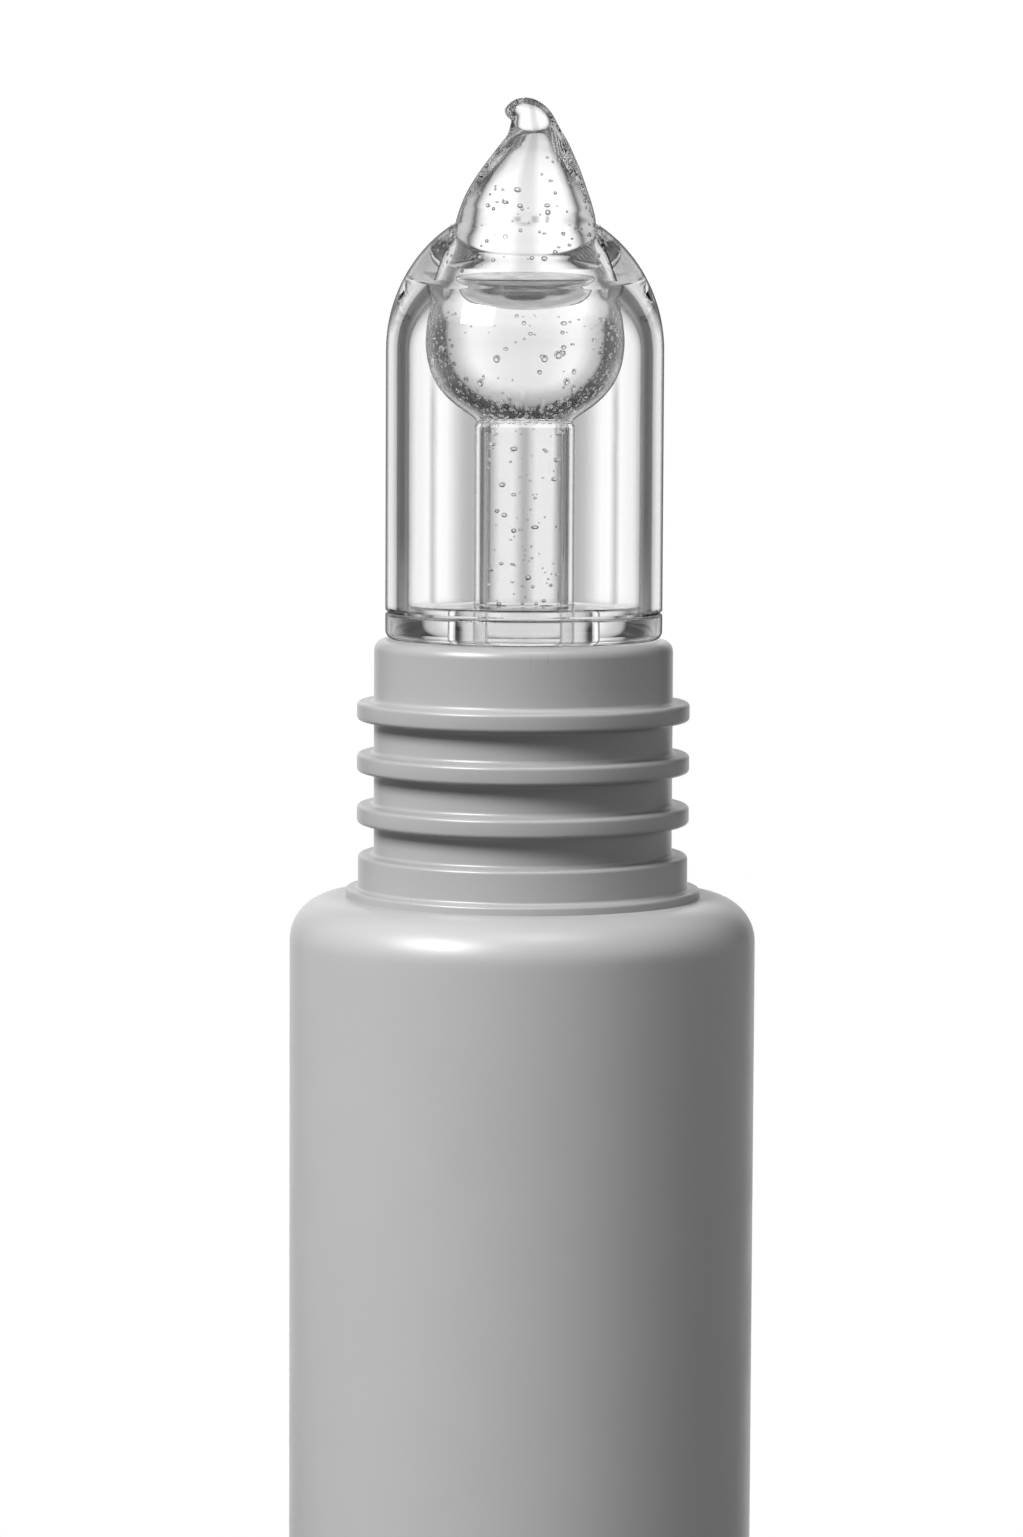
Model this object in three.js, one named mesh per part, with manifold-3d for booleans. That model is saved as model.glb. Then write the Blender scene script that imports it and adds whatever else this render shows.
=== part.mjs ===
// Small squeeze tube for a clear lip gel, with a ringed neck and a clear hollow dome applicator.
// Millimetres. +Z runs along the tube from the sealed tail to the tip.
// The origin is the middle of the tail's cut end, and the tail is wide along X.

import * as THREE from 'three';
import { mergeVertices } from 'three/addons/utils/BufferGeometryUtils.js';
import Module from 'manifold-3d';

const wasm = await Module();
wasm.setup();

// Sleeve and its sealed tail
const SLEEVE_DIAMETER = 19;
const SLEEVE_WALL = 0.5;
const SHOULDER_RADIUS = 1.8;
const SHOULDER_WALL = 0.8;
const STRAIGHT_LENGTH = 28.5;
const TAPER_LENGTH = 27;
const TAIL_HEIGHT = 4.5;
const TAIL_THICKNESS = 1.1;
const TAIL_FLATNESS = 3.2;
const SEAL_SLIT = 0.5;

// Neck fitment
const NECK_DIAMETER = 12.16;
const NECK_HEIGHT = 10.5;
const NECK_BORE = 9;
const RIM_ROUND = 0.48;
const RING_COUNT = 3;
const RING_PITCH = 2.1;
const RING_STANDOUT = 0.69;
const RING_HEIGHT = 0.77;
const RING_DROP = 2.92;
const RING_ROUND = 0.17;
const RING_ROOT_CUT = 0.26;
const COLLAR_STANDOUT = 0.64;
const COLLAR_HEIGHT = 1.73;
const COLLAR_ROUND = 0.16;
const FLANGE_STANDOUT = 0.51;
const FLANGE_HEIGHT = 0.36;
const FLANGE_ROUND = 0.13;
const MOUTH_DIAMETER = 11.8;
const SNAP_STANDOUT = 0.4;
const SNAP_HEIGHT = 0.4;
const SKIRT_LENGTH = 2.4;

// Clear applicator tip
const TIP_DIAMETER = 11.26;
const DISC_THICKNESS = 1.08;
const DISC_ROUND = 0.35;
const STEP_HEIGHT = 0.35;
const PLUG_LENGTH = 5;
const PLUG_WALL = 0.9;
const PLUG_CHAMFER = 0.3;
const DOME_WALL = 0.85;
const DOME_STRAIGHT = 10.6;
const DOME_RISE = 5.95;
const CAVITY_RISE = 4.05;
const DOME_EDGE_ROUND = 0.12;
const CROWN_HOLE = 7.7;
const SLOT_LEDGE = 0.4;

// Feed tube, and the bulb with its neck that comes out through the crown
const FEED_DIAMETER = 4.04;
const FEED_WALL = 0.44;
const FOOT_DIAMETER = 5.2;
const FOOT_THICKNESS = 0.4;
const BULB_DIAMETER = 8.06;
const BULB_WALL = 0.35;
const BULB_HEIGHT = 11.19;
const BULB_DROP = 3.6;
const BULB_FULLNESS = 2.5;
const FLARE_SHARPNESS = 4;
const LIP_WALL = 0.12;
const THROAT_DIAMETER = 5.8;
const THROAT_RISE = 0.78;
const THROAT_EASE = 0.5;

// Gel
const HEADSPACE = 13;
const PEAK_HEIGHT = 5.06;
const PEAK_LEAN = 0.25;
const LEAN_POWER = 4;
// Stations up the gel peak: sideways offset and half width as shares of the base radius, height as a share
// of the peak's height, and tilt in degrees. The peak leans to one side, then its tip folds to the other.
const PEAK_STATIONS = [
  { aside: 0, height: 0, width: 1, tilt: 0 },
  { aside: 0.007, height: 0.065, width: 0.977, tilt: 0 },
  { aside: 0.014, height: 0.16, width: 0.926, tilt: 0 },
  { aside: 0.023, height: 0.254, width: 0.86, tilt: 0 },
  { aside: 0.044, height: 0.349, width: 0.781, tilt: 0 },
  { aside: 0.07, height: 0.443, width: 0.693, tilt: 0 },
  { aside: 0.097, height: 0.538, width: 0.592, tilt: 0 },
  { aside: 0.118, height: 0.633, width: 0.49, tilt: 1 },
  { aside: 0.119, height: 0.711, width: 0.396, tilt: 4 },
  { aside: 0.099, height: 0.765, width: 0.349, tilt: 9 },
  { aside: 0.074, height: 0.822, width: 0.311, tilt: 15 },
  { aside: 0.032, height: 0.867, width: 0.272, tilt: 24 },
  { aside: -0.026, height: 0.896, width: 0.235, tilt: 36 },
  { aside: -0.09, height: 0.911, width: 0.203, tilt: 49 },
  { aside: -0.158, height: 0.914, width: 0.166, tilt: 61 },
  { aside: -0.22, height: 0.911, width: 0.126, tilt: 69 },
  { aside: -0.268, height: 0.906, width: 0.079, tilt: 74 },
  { aside: -0.295, height: 0.902, width: 0.036, tilt: 76 },
];
const PEAK_TIP = { aside: -0.308, height: 0.9 };

// Fits between pieces
const SNAP_GAP = 0.1;
const PLUG_GAP = 0.1;
const TIP_GAP = 0.05;
const GEL_GAP = 0.06;
const FILL_GAP = 0.3;

// Facets
const SEGMENTS = 36;
const FEED_SEGMENTS = 28;
const PEAK_SEGMENTS = 20;
const ROUND_STEPS = 2;
const SHOULDER_STEPS = 5;
const TAPER_STEPS = 11;
const DOME_STEPS = 9;
const BULB_STEPS = 10;
const PASSAGE_STEPS = 5;
const PEAK_STEPS = 24;
const SEARCH_TOLERANCE = 1e-7;
const MERGE_TOLERANCE = 1e-5;

// Radii and levels that follow from the sizes above
const sleeveRadius = SLEEVE_DIAMETER / 2;
const neckRadius = NECK_DIAMETER / 2;
const boreRadius = NECK_BORE / 2;
const mouthRadius = MOUTH_DIAMETER / 2;
const tipRadius = TIP_DIAMETER / 2;
const cavityRadius = tipRadius - DOME_WALL;
const plugRadius = boreRadius - PLUG_GAP;
const plugBore = plugRadius - PLUG_WALL;
const feedRadius = FEED_DIAMETER / 2;
const feedBore = feedRadius - FEED_WALL;
const bulbRadius = BULB_DIAMETER / 2;
const crownHoleRadius = CROWN_HOLE / 2;
const throatRadius = THROAT_DIAMETER / 2;
const crownEdgeRadius = throatRadius + LIP_WALL + TIP_GAP;

const shoulderLevel = TAIL_HEIGHT + TAPER_LENGTH + STRAIGHT_LENGTH;
const rimLevel = shoulderLevel + NECK_HEIGHT;
const discLevel = rimLevel + DISC_THICKNESS;
const springLevel = discLevel + DOME_STRAIGHT;
const footLevel = rimLevel - FOOT_THICKNESS;
const plugEndLevel = rimLevel - PLUG_LENGTH;
const skirtEndLevel = shoulderLevel - SKIRT_LENGTH;
const bulbLevel = discLevel + BULB_HEIGHT;
const lipLevel = springLevel + ellipseHeight(throatRadius, tipRadius, DOME_RISE);
const crownLevel = springLevel + ellipseHeight(crownEdgeRadius, tipRadius, DOME_RISE);
const ceilingLevel = springLevel + ellipseHeight(crownHoleRadius, cavityRadius, CAVITY_RISE);
const slotLevel = ceilingLevel + SLOT_LEDGE;

function ellipseHeight(radius, halfWidth, rise) {
  return rise * Math.sqrt(1 - (radius / halfWidth) ** 2);
}

// An outline of [radius, level, size, shape] corners that closes on itself.
// A corner with a size is rounded by that much, or cut straight where its shape is CUT.
const CUT = 'cut';

function roundedOutline(corners) {
  const path = new THREE.Path();
  const at = (index) => corners[(index + corners.length) % corners.length];
  const point = ([radius, level]) => new THREE.Vector2(radius, level);
  const stepTowards = (from, to, distance) => {
    const way = point(to).sub(point(from));
    return point(from).add(way.setLength(Math.min(distance, way.length() / 2)));
  };
  corners.forEach((corner, index) => {
    const [radius, level, size = 0, shape] = corner;
    const start = stepTowards(corner, at(index - 1), size);
    const end = stepTowards(corner, at(index + 1), size);
    if (index === 0) path.moveTo(start.x, start.y);
    else path.lineTo(start.x, start.y);
    if (shape === CUT) path.lineTo(end.x, end.y);
    else if (size > 0) path.quadraticCurveTo(radius, level, end.x, end.y);
  });
  path.closePath();
  return path.getPoints(ROUND_STEPS);
}

// Turns a profile about Z. The profile runs up its outside and down its inside.
function turned(profile, segments) {
  return new THREE.LatheGeometry(profile, segments).rotateX(Math.PI / 2);
}

// Skins a row of rings, each with as many points, and closes both ends with a fan to the ring's middle.
function lofted(rings, startCentre, endCentre) {
  const count = rings[0].length;
  const points = [...rings.flat(), startCentre, endCentre];
  const startIndex = points.length - 2;
  const endIndex = points.length - 1;
  const index = [];
  for (let side = 0; side < count; side += 1) {
    const next = (side + 1) % count;
    const lastRing = (rings.length - 1) * count;
    index.push(next, side, startIndex);
    for (let ring = 0; ring < rings.length - 1; ring += 1) {
      const low = ring * count;
      const high = low + count;
      index.push(low + side, low + next, high + side);
      index.push(high + next, high + side, low + next);
    }
    index.push(lastRing + side, lastRing + next, endIndex);
  }
  const geometry = new THREE.BufferGeometry().setFromPoints(points);
  geometry.setIndex(index);
  geometry.computeVertexNormals();
  return geometry;
}

// How far out a cross-section reaches across its thickness, as a share, where an ellipse would reach swell.
// softPress flattens the broad sides smoothly as flatness grows past 1, and hardPress makes them dead flat.
function softPress(swell, flatness) {
  return (flatness * swell) / Math.sqrt(1 + (flatness ** 2 - 1) * swell ** 2);
}

function hardPress(swell, flatness) {
  return THREE.MathUtils.clamp(flatness * swell, -1, 1);
}

// One cross-section of the sleeve: an ellipse whose broad sides are pressed flat.
function sleeveSection(halfWidth, halfThickness, flatness, level, press = softPress) {
  return Array.from({ length: SEGMENTS }, (_, side) => {
    const angle = (2 * Math.PI * side) / SEGMENTS;
    const reach = press(Math.cos(angle), flatness);
    return new THREE.Vector3(halfWidth * Math.sin(angle), -halfThickness * reach, level);
  });
}

function roundSection(radius, level) {
  return sleeveSection(radius, radius, 1, level);
}

function perimeter(ring) {
  return ring.reduce((sum, point, side) => sum + point.distanceTo(ring[(side + 1) % ring.length]), 0);
}

// Halves the stretch from low to high until it closes on the value where isLow stops being true.
function search(low, high, isLow) {
  const middle = (low + high) / 2;
  if (high - low < SEARCH_TOLERANCE) return middle;
  return isLow(middle) ? search(middle, high, isLow) : search(low, middle, isLow);
}

// Pressing the sleeve flat doesn't stretch it, so the half width is found from an unchanged perimeter.
function flattenedHalfWidth(halfThickness, flatness) {
  const wanted = perimeter(roundSection(sleeveRadius, 0));
  return search(0, SLEEVE_DIAMETER, (halfWidth) => {
    return perimeter(sleeveSection(halfWidth, halfThickness, flatness, 0)) < wanted;
  });
}

// Half thickness along the taper, from round at share 0 to pressed shut at share 1.
function taperHalfThickness(share) {
  return THREE.MathUtils.lerp(sleeveRadius, TAIL_THICKNESS / 2, share * share * (2 - share));
}

// The tapering section at a share of the way to the tail, drawn in by an inset.
function taperSection(share, inset) {
  const halfThickness = taperHalfThickness(share);
  const flatness = THREE.MathUtils.lerp(1, TAIL_FLATNESS, share ** 3);
  const halfWidth = flattenedHalfWidth(halfThickness, flatness);
  const level = TAIL_HEIGHT + TAPER_LENGTH * (1 - share);
  return sleeveSection(halfWidth - inset, halfThickness - inset, flatness, level);
}

// Sections from round down to the share where the taper ends.
function taperSections(endShare, inset) {
  return Array.from({ length: TAPER_STEPS + 1 }, (_, step) => {
    return taperSection((endShare * step) / TAPER_STEPS, inset);
  });
}

// The share of the taper at which the hollow inside has closed to a slit.
function slitShare() {
  return search(0, 1, (share) => taperHalfThickness(share) > SLEEVE_WALL + SEAL_SLIT / 2);
}

// Sections round the quarter turn of the shoulder, from the side up to the flat top.
function shoulderSections(centreRadius, centreLevel, radius) {
  const arc = new THREE.EllipseCurve(centreRadius, centreLevel, radius, radius, 0, Math.PI / 2);
  return arc.getPoints(SHOULDER_STEPS).map((point) => roundSection(point.x, point.y));
}

function centreOf(ring) {
  return new THREE.Vector3(0, 0, ring[0].z);
}

function makeSleeve() {
  const arcCentre = sleeveRadius - SHOULDER_RADIUS;
  const tailHalfThickness = TAIL_THICKNESS / 2;
  const tailHalfWidth = flattenedHalfWidth(tailHalfThickness, TAIL_FLATNESS);
  const tailSection = (level) => {
    return sleeveSection(tailHalfWidth, tailHalfThickness, TAIL_FLATNESS, level, hardPress);
  };
  const innerRadius = Math.max(SHOULDER_RADIUS - SLEEVE_WALL, SLEEVE_WALL);
  const innerCentre = sleeveRadius - SLEEVE_WALL - innerRadius;
  const outside = [
    tailSection(0),
    tailSection(TAIL_HEIGHT),
    ...taperSections(1, 0).reverse().slice(1),
    ...shoulderSections(arcCentre, shoulderLevel - SHOULDER_RADIUS, SHOULDER_RADIUS),
    roundSection(mouthRadius, shoulderLevel),
  ];
  const inside = [
    roundSection(mouthRadius, shoulderLevel - SHOULDER_WALL),
    ...shoulderSections(innerCentre, shoulderLevel - SHOULDER_WALL - innerRadius, innerRadius).reverse(),
    ...taperSections(slitShare(), SLEEVE_WALL),
  ];
  const rings = [...outside, ...inside];
  return lofted(rings, centreOf(rings[0]), centreOf(rings.at(-1)));
}

// The ring beads from the lowest up, each with splayed roots and rounded crests.
function ringCorners() {
  const crest = neckRadius + RING_STANDOUT;
  return Array.from({ length: RING_COUNT }, (_, ring) => {
    const middle = rimLevel - RING_DROP - RING_PITCH * (RING_COUNT - 1 - ring);
    const bottom = middle - RING_HEIGHT / 2;
    const top = middle + RING_HEIGHT / 2;
    return [
      [neckRadius, bottom, RING_ROOT_CUT, CUT],
      [crest, bottom, RING_ROUND],
      [crest, top, RING_ROUND],
      [neckRadius, top, RING_ROOT_CUT, CUT],
    ];
  }).flat();
}

function makeNeckFitment() {
  const collarRadius = neckRadius + COLLAR_STANDOUT;
  const flangeRadius = collarRadius + FLANGE_STANDOUT;
  const spigotRadius = mouthRadius - SNAP_GAP;
  const snapTop = shoulderLevel - SHOULDER_WALL - SNAP_GAP;
  return turned(roundedOutline([
    [boreRadius, skirtEndLevel],
    [spigotRadius, skirtEndLevel],
    [mouthRadius + SNAP_STANDOUT, snapTop - SNAP_HEIGHT],
    [mouthRadius + SNAP_STANDOUT, snapTop],
    [spigotRadius, snapTop],
    [spigotRadius, shoulderLevel],
    [flangeRadius, shoulderLevel],
    [flangeRadius, shoulderLevel + FLANGE_HEIGHT, FLANGE_ROUND],
    [collarRadius, shoulderLevel + FLANGE_HEIGHT, FLANGE_ROUND],
    [collarRadius, shoulderLevel + COLLAR_HEIGHT, COLLAR_ROUND],
    [neckRadius, shoulderLevel + COLLAR_HEIGHT, COLLAR_ROUND],
    ...ringCorners(),
    [neckRadius, rimLevel, RIM_ROUND],
    [boreRadius, rimLevel],
  ]), SEGMENTS);
}

function makeTipBase() {
  const stepRadius = cavityRadius - TIP_GAP;
  const holeRadius = feedRadius + TIP_GAP;
  return turned(roundedOutline([
    [holeRadius, rimLevel],
    [plugBore, rimLevel],
    [plugBore, plugEndLevel],
    [plugRadius, plugEndLevel, PLUG_CHAMFER, CUT],
    [plugRadius, rimLevel],
    [tipRadius, rimLevel, DISC_ROUND],
    [tipRadius, discLevel, DOME_EDGE_ROUND],
    [stepRadius, discLevel],
    [stepRadius, discLevel + STEP_HEIGHT, DOME_EDGE_ROUND],
    [holeRadius, discLevel + STEP_HEIGHT],
  ]), SEGMENTS);
}

// A closed mesh as a solid that can be cut.
function solidOf(geometry) {
  const bare = new THREE.BufferGeometry();
  bare.setAttribute('position', geometry.getAttribute('position'));
  bare.setIndex(geometry.getIndex());
  const merged = mergeVertices(bare, MERGE_TOLERANCE);
  return new wasm.Manifold(new wasm.Mesh({
    numProp: 3,
    vertProperties: merged.getAttribute('position').array,
    triVerts: Uint32Array.from(merged.getIndex().array),
  }));
}

function carved(geometry, cutter) {
  const { vertProperties, triVerts } = solidOf(geometry).subtract(solidOf(cutter)).getMesh();
  const made = new THREE.BufferGeometry();
  made.setAttribute('position', new THREE.BufferAttribute(vertProperties, 3));
  made.setIndex(new THREE.BufferAttribute(triVerts, 1));
  made.computeVertexNormals();
  return made;
}

// Inside radius of the bulb above its middle, where it draws in to the throat at its lip.
function passageRadius(level) {
  const start = bulbLevel + THROAT_RISE;
  const share = Math.max(0, (level - start) / (lipLevel - start));
  const drawnIn = share ** 2 * (3 - THROAT_EASE - (2 - THROAT_EASE) * share);
  return THREE.MathUtils.lerp(bulbRadius - BULB_WALL, throatRadius, drawnIn);
}

// Outside radius of the bulb above its middle: its wall thins towards the lip.
function bulbNeckRadius(level) {
  const share = (level - bulbLevel) / (lipLevel - bulbLevel);
  return passageRadius(level) + THREE.MathUtils.lerp(BULB_WALL, LIP_WALL, share);
}

// Points up a wall between two levels, from the wall's radius at each level and an inset.
function upright(radiusAt, low, high, inset) {
  return Array.from({ length: PASSAGE_STEPS + 1 }, (_, step) => {
    const level = THREE.MathUtils.lerp(low, high, step / PASSAGE_STEPS);
    return new THREE.Vector2(radiusAt(level) - inset, level);
  });
}

// A bar through the crown from front to back, a little wider than the crown's hole at each level.
function makeSlot() {
  const side = upright(bulbNeckRadius, slotLevel, crownLevel, -2 * TIP_GAP);
  const right = [...side, new THREE.Vector2(side.at(-1).x, crownLevel + tipRadius)];
  const left = right.map(({ x, y }) => new THREE.Vector2(-x, y)).reverse();
  const bar = new THREE.ExtrudeGeometry(new THREE.Shape([...right, ...left]), {
    depth: TIP_DIAMETER,
    bevelEnabled: false,
  });
  return bar.translate(0, 0, -tipRadius).rotateX(Math.PI / 2);
}

function makeTipDome() {
  const edgeAngle = Math.acos(crownEdgeRadius / tipRadius);
  const ceilingAngle = Math.acos(crownHoleRadius / cavityRadius);
  const outer = new THREE.EllipseCurve(0, springLevel, tipRadius, DOME_RISE, 0, edgeAngle);
  const inner = new THREE.EllipseCurve(0, springLevel, cavityRadius, CAVITY_RISE, 0, ceilingAngle);
  const dome = turned([
    new THREE.Vector2(cavityRadius, discLevel),
    new THREE.Vector2(tipRadius - DOME_EDGE_ROUND, discLevel),
    new THREE.Vector2(tipRadius, discLevel + DOME_EDGE_ROUND),
    ...outer.getPoints(DOME_STEPS),
    ...upright(bulbNeckRadius, ceilingLevel, crownLevel, -TIP_GAP).slice(1, -1).reverse(),
    ...inner.getPoints(DOME_STEPS).reverse(),
    new THREE.Vector2(cavityRadius, discLevel),
  ], SEGMENTS);
  return carved(dome, makeSlot());
}

// Radius at a depth below the bulb's middle, where the egg-shaped bulb turns into the feed tube.
function flareRadius(depth, widest, drop, tubeRadius) {
  const share = depth / drop;
  const egg = widest * Math.sqrt(Math.max(0, 1 - share ** BULB_FULLNESS));
  const tube = tubeRadius * Math.min(1, share ** 2);
  return (egg ** FLARE_SHARPNESS + tube ** FLARE_SHARPNESS) ** (1 / FLARE_SHARPNESS);
}

// The outline from the feed tube's start up to the bulb's middle, drawn in by an inset.
function lowerBulb(startLevel, tubeRadius, inset) {
  const bulb = Array.from({ length: BULB_STEPS + 1 }, (_, step) => {
    const depth = (BULB_DROP + FEED_WALL) * (1 - step / BULB_STEPS);
    const radius = flareRadius(depth, bulbRadius - inset, BULB_DROP - inset, tubeRadius);
    return new THREE.Vector2(radius, bulbLevel - depth);
  });
  return [new THREE.Vector2(tubeRadius, startLevel), ...bulb];
}

function bulbOutside() {
  const lower = lowerBulb(rimLevel, feedRadius, 0);
  return [...lower, ...upright(bulbNeckRadius, bulbLevel, lipLevel, 0).slice(1)];
}

function bulbInside(topLevel, inset) {
  const lower = lowerBulb(footLevel, feedBore - inset, BULB_WALL + inset);
  return [...lower, ...upright(passageRadius, bulbLevel, topLevel, inset).slice(1)];
}

function makeFeedBulb() {
  const footRadius = FOOT_DIAMETER / 2;
  return turned([
    new THREE.Vector2(feedBore, footLevel),
    new THREE.Vector2(footRadius, footLevel),
    new THREE.Vector2(footRadius, rimLevel),
    ...bulbOutside(),
    ...bulbInside(lipLevel, 0).reverse(),
  ], FEED_SEGMENTS);
}

function makeGelColumn() {
  return turned([
    new THREE.Vector2(0, footLevel),
    ...bulbInside(slotLevel, GEL_GAP),
    new THREE.Vector2(0, slotLevel),
  ], FEED_SEGMENTS);
}

function makeGelFill() {
  const inset = SLEEVE_WALL + FILL_GAP;
  const shoulder = skirtEndLevel - FILL_GAP;
  const chamfer = SHOULDER_RADIUS - SLEEVE_WALL;
  const endShare = 1 - HEADSPACE / TAPER_LENGTH;
  const rings = [
    ...taperSections(endShare, inset).reverse(),
    roundSection(sleeveRadius - inset, shoulder - chamfer),
    roundSection(sleeveRadius - inset - chamfer, shoulder),
    roundSection(boreRadius - FILL_GAP, shoulder),
    roundSection(boreRadius - FILL_GAP, plugEndLevel - FILL_GAP),
    roundSection(plugBore - FILL_GAP, plugEndLevel - FILL_GAP),
    roundSection(plugBore - FILL_GAP, footLevel),
  ];
  return lofted(rings, centreOf(rings[0]), centreOf(rings.at(-1)));
}

// The gel in the bulb's neck, which stands on its lip as a leaning, curled peak.
function makeGelPeak() {
  const radius = throatRadius - GEL_GAP;
  const place = (aside, forward, level) => {
    const share = Math.max(0, (level - lipLevel) / PEAK_HEIGHT);
    return new THREE.Vector3(aside, -PEAK_LEAN * share ** LEAN_POWER - forward, level);
  };
  const ring = (centre, halfWidth, tilt) => {
    const turn = THREE.MathUtils.degToRad(tilt);
    return Array.from({ length: PEAK_SEGMENTS }, (_, side) => {
      const angle = (2 * Math.PI * side) / PEAK_SEGMENTS;
      const across = halfWidth * Math.sin(angle);
      const forward = halfWidth * Math.cos(angle);
      return place(centre.x + across * Math.cos(turn), forward, centre.y + across * Math.sin(turn));
    });
  };
  const level = (share) => lipLevel + share * PEAK_HEIGHT;
  const spine = new THREE.SplineCurve(PEAK_STATIONS.map(({ aside, height }) => {
    return new THREE.Vector2(aside * radius, level(height));
  }));
  const form = new THREE.SplineCurve(PEAK_STATIONS.map(({ width, tilt }) => {
    return new THREE.Vector2(width * radius, tilt);
  }));
  const neck = upright(passageRadius, slotLevel, lipLevel, GEL_GAP).slice(0, -1).map(({ x, y }) => {
    return ring(new THREE.Vector2(0, y), x, 0);
  });
  const peak = Array.from({ length: PEAK_STEPS + 1 }, (_, step) => {
    const { x: halfWidth, y: tilt } = form.getPoint(step / PEAK_STEPS);
    return ring(spine.getPoint(step / PEAK_STEPS), halfWidth, tilt);
  });
  const tip = place(PEAK_TIP.aside * radius, 0, level(PEAK_TIP.height));
  return lofted([...neck, ...peak], place(0, 0, slotLevel), tip);
}

const greySleeve = new THREE.MeshStandardMaterial({ color: 0xa6a6a6, roughness: 0.45, metalness: 0 });
const greyNeck = new THREE.MeshStandardMaterial({ color: 0xa3a3a3, roughness: 0.4, metalness: 0 });
const clearPlastic = new THREE.MeshStandardMaterial({
  color: 0xf4f6f6,
  roughness: 0.05,
  metalness: 0,
  transparent: true,
  opacity: 0.3,
});
const clearGel = new THREE.MeshStandardMaterial({
  color: 0xf6f6f4,
  roughness: 0.03,
  metalness: 0,
  transparent: true,
  opacity: 0.35,
});

function piece(name, geometry, material) {
  const mesh = new THREE.Mesh(geometry, material);
  mesh.name = name;
  return mesh;
}

const tube = new THREE.Group();
tube.name = 'cosmetic_tube';
tube.add(
  piece('tube_sleeve', makeSleeve(), greySleeve),
  piece('neck_fitment', makeNeckFitment(), greyNeck),
  piece('tip_base', makeTipBase(), clearPlastic),
  piece('feed_bulb', makeFeedBulb(), clearPlastic),
  piece('tip_dome', makeTipDome(), clearPlastic),
  piece('gel_fill', makeGelFill(), clearGel),
  piece('gel_column', makeGelColumn(), clearGel),
  piece('gel_peak', makeGelPeak(), clearGel),
);

export default tube;
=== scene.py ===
"""A small squeeze tube for clear lip gel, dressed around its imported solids.

It has a satin grey sleeve and ringed neck, a clear hollow dome applicator with a feed tube and bulb,
and the gel with its bubbles. Sizes are in metres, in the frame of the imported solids.
"""

import math
import random

import bmesh
import bpy
from bpy.props import FloatProperty, FloatVectorProperty, IntProperty, PointerProperty
from mathutils import Matrix, Vector, noise


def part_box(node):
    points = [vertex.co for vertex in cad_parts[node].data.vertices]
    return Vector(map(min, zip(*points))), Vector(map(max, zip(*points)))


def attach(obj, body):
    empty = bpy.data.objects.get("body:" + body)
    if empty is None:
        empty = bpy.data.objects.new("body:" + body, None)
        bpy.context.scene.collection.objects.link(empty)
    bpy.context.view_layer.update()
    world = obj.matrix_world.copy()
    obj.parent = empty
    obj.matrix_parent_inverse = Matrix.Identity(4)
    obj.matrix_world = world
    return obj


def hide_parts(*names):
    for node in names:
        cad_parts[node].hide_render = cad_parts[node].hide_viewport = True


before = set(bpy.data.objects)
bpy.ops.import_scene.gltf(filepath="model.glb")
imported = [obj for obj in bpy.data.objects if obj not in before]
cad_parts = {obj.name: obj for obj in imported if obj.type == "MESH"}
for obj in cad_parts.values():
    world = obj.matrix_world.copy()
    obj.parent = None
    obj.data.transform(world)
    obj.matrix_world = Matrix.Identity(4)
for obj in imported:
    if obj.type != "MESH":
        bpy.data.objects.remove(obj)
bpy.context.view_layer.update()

bl_info = {
    "name": "Squeeze Tube With Dome Applicator",
    "version": (1, 0, 0),
    "blender": (4, 5, 0),
    "location": "View3D > Sidebar > Tube",
    "description": "Builds the finished pieces of a small squeeze tube around its packed solids",
    "category": "Object",
}

MM = 0.001
BODY = "root"
MERGE_DISTANCE = 1e-7
SEARCH_STEPS = 28

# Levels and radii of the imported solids
_, SLEEVE_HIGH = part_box("tube_sleeve")
NECK_LOW, NECK_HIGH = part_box("neck_fitment")
BASE_LOW, BASE_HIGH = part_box("tip_base")
DOME_LOW, DOME_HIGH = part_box("tip_dome")
FEED_LOW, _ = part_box("feed_bulb")
FILL_LOW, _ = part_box("gel_fill")

SLEEVE_RADIUS = SLEEVE_HIGH.y
SHOULDER_LEVEL = SLEEVE_HIGH.z
SKIRT_LEVEL = NECK_LOW.z
RIM_LEVEL = NECK_HIGH.z
PLUG_LEVEL = BASE_LOW.z
STEP_LEVEL = BASE_HIGH.z
DISC_LEVEL = DOME_LOW.z
TIP_RADIUS = DOME_HIGH.x
FOOT_LEVEL = FEED_LOW.z
FILL_LEVEL = FILL_LOW.z


def length(name, description, millimetres):
    """A size property whose default is given in millimetres."""
    return FloatProperty(name=name, description=description, default=millimetres * MM,
                         unit="LENGTH", precision=5)


def share(name, description, default):
    """A property between none and all."""
    return FloatProperty(name=name, description=description, default=default,
                         min=0.0, max=1.0, subtype="FACTOR")


def number(name, description, default):
    """A plain number property."""
    return FloatProperty(name=name, description=description, default=default)


def count(name, description, default):
    """A property that counts pieces, of which there is at least one."""
    return IntProperty(name=name, description=description, default=default, min=1)


def angle(name, description, degrees):
    """An angle property whose default is given in degrees."""
    return FloatProperty(name=name, description=description, default=math.radians(degrees),
                         subtype="ANGLE")


def wattage(name, description, watts):
    """A lamp's strength."""
    return FloatProperty(name=name, description=description, default=watts, unit="POWER")


def grey(name, description, level):
    """A neutral colour property."""
    return FloatVectorProperty(name=name, description=description, default=(level, level, level),
                               size=3, min=0.0, max=1.0, subtype="COLOR")


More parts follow.
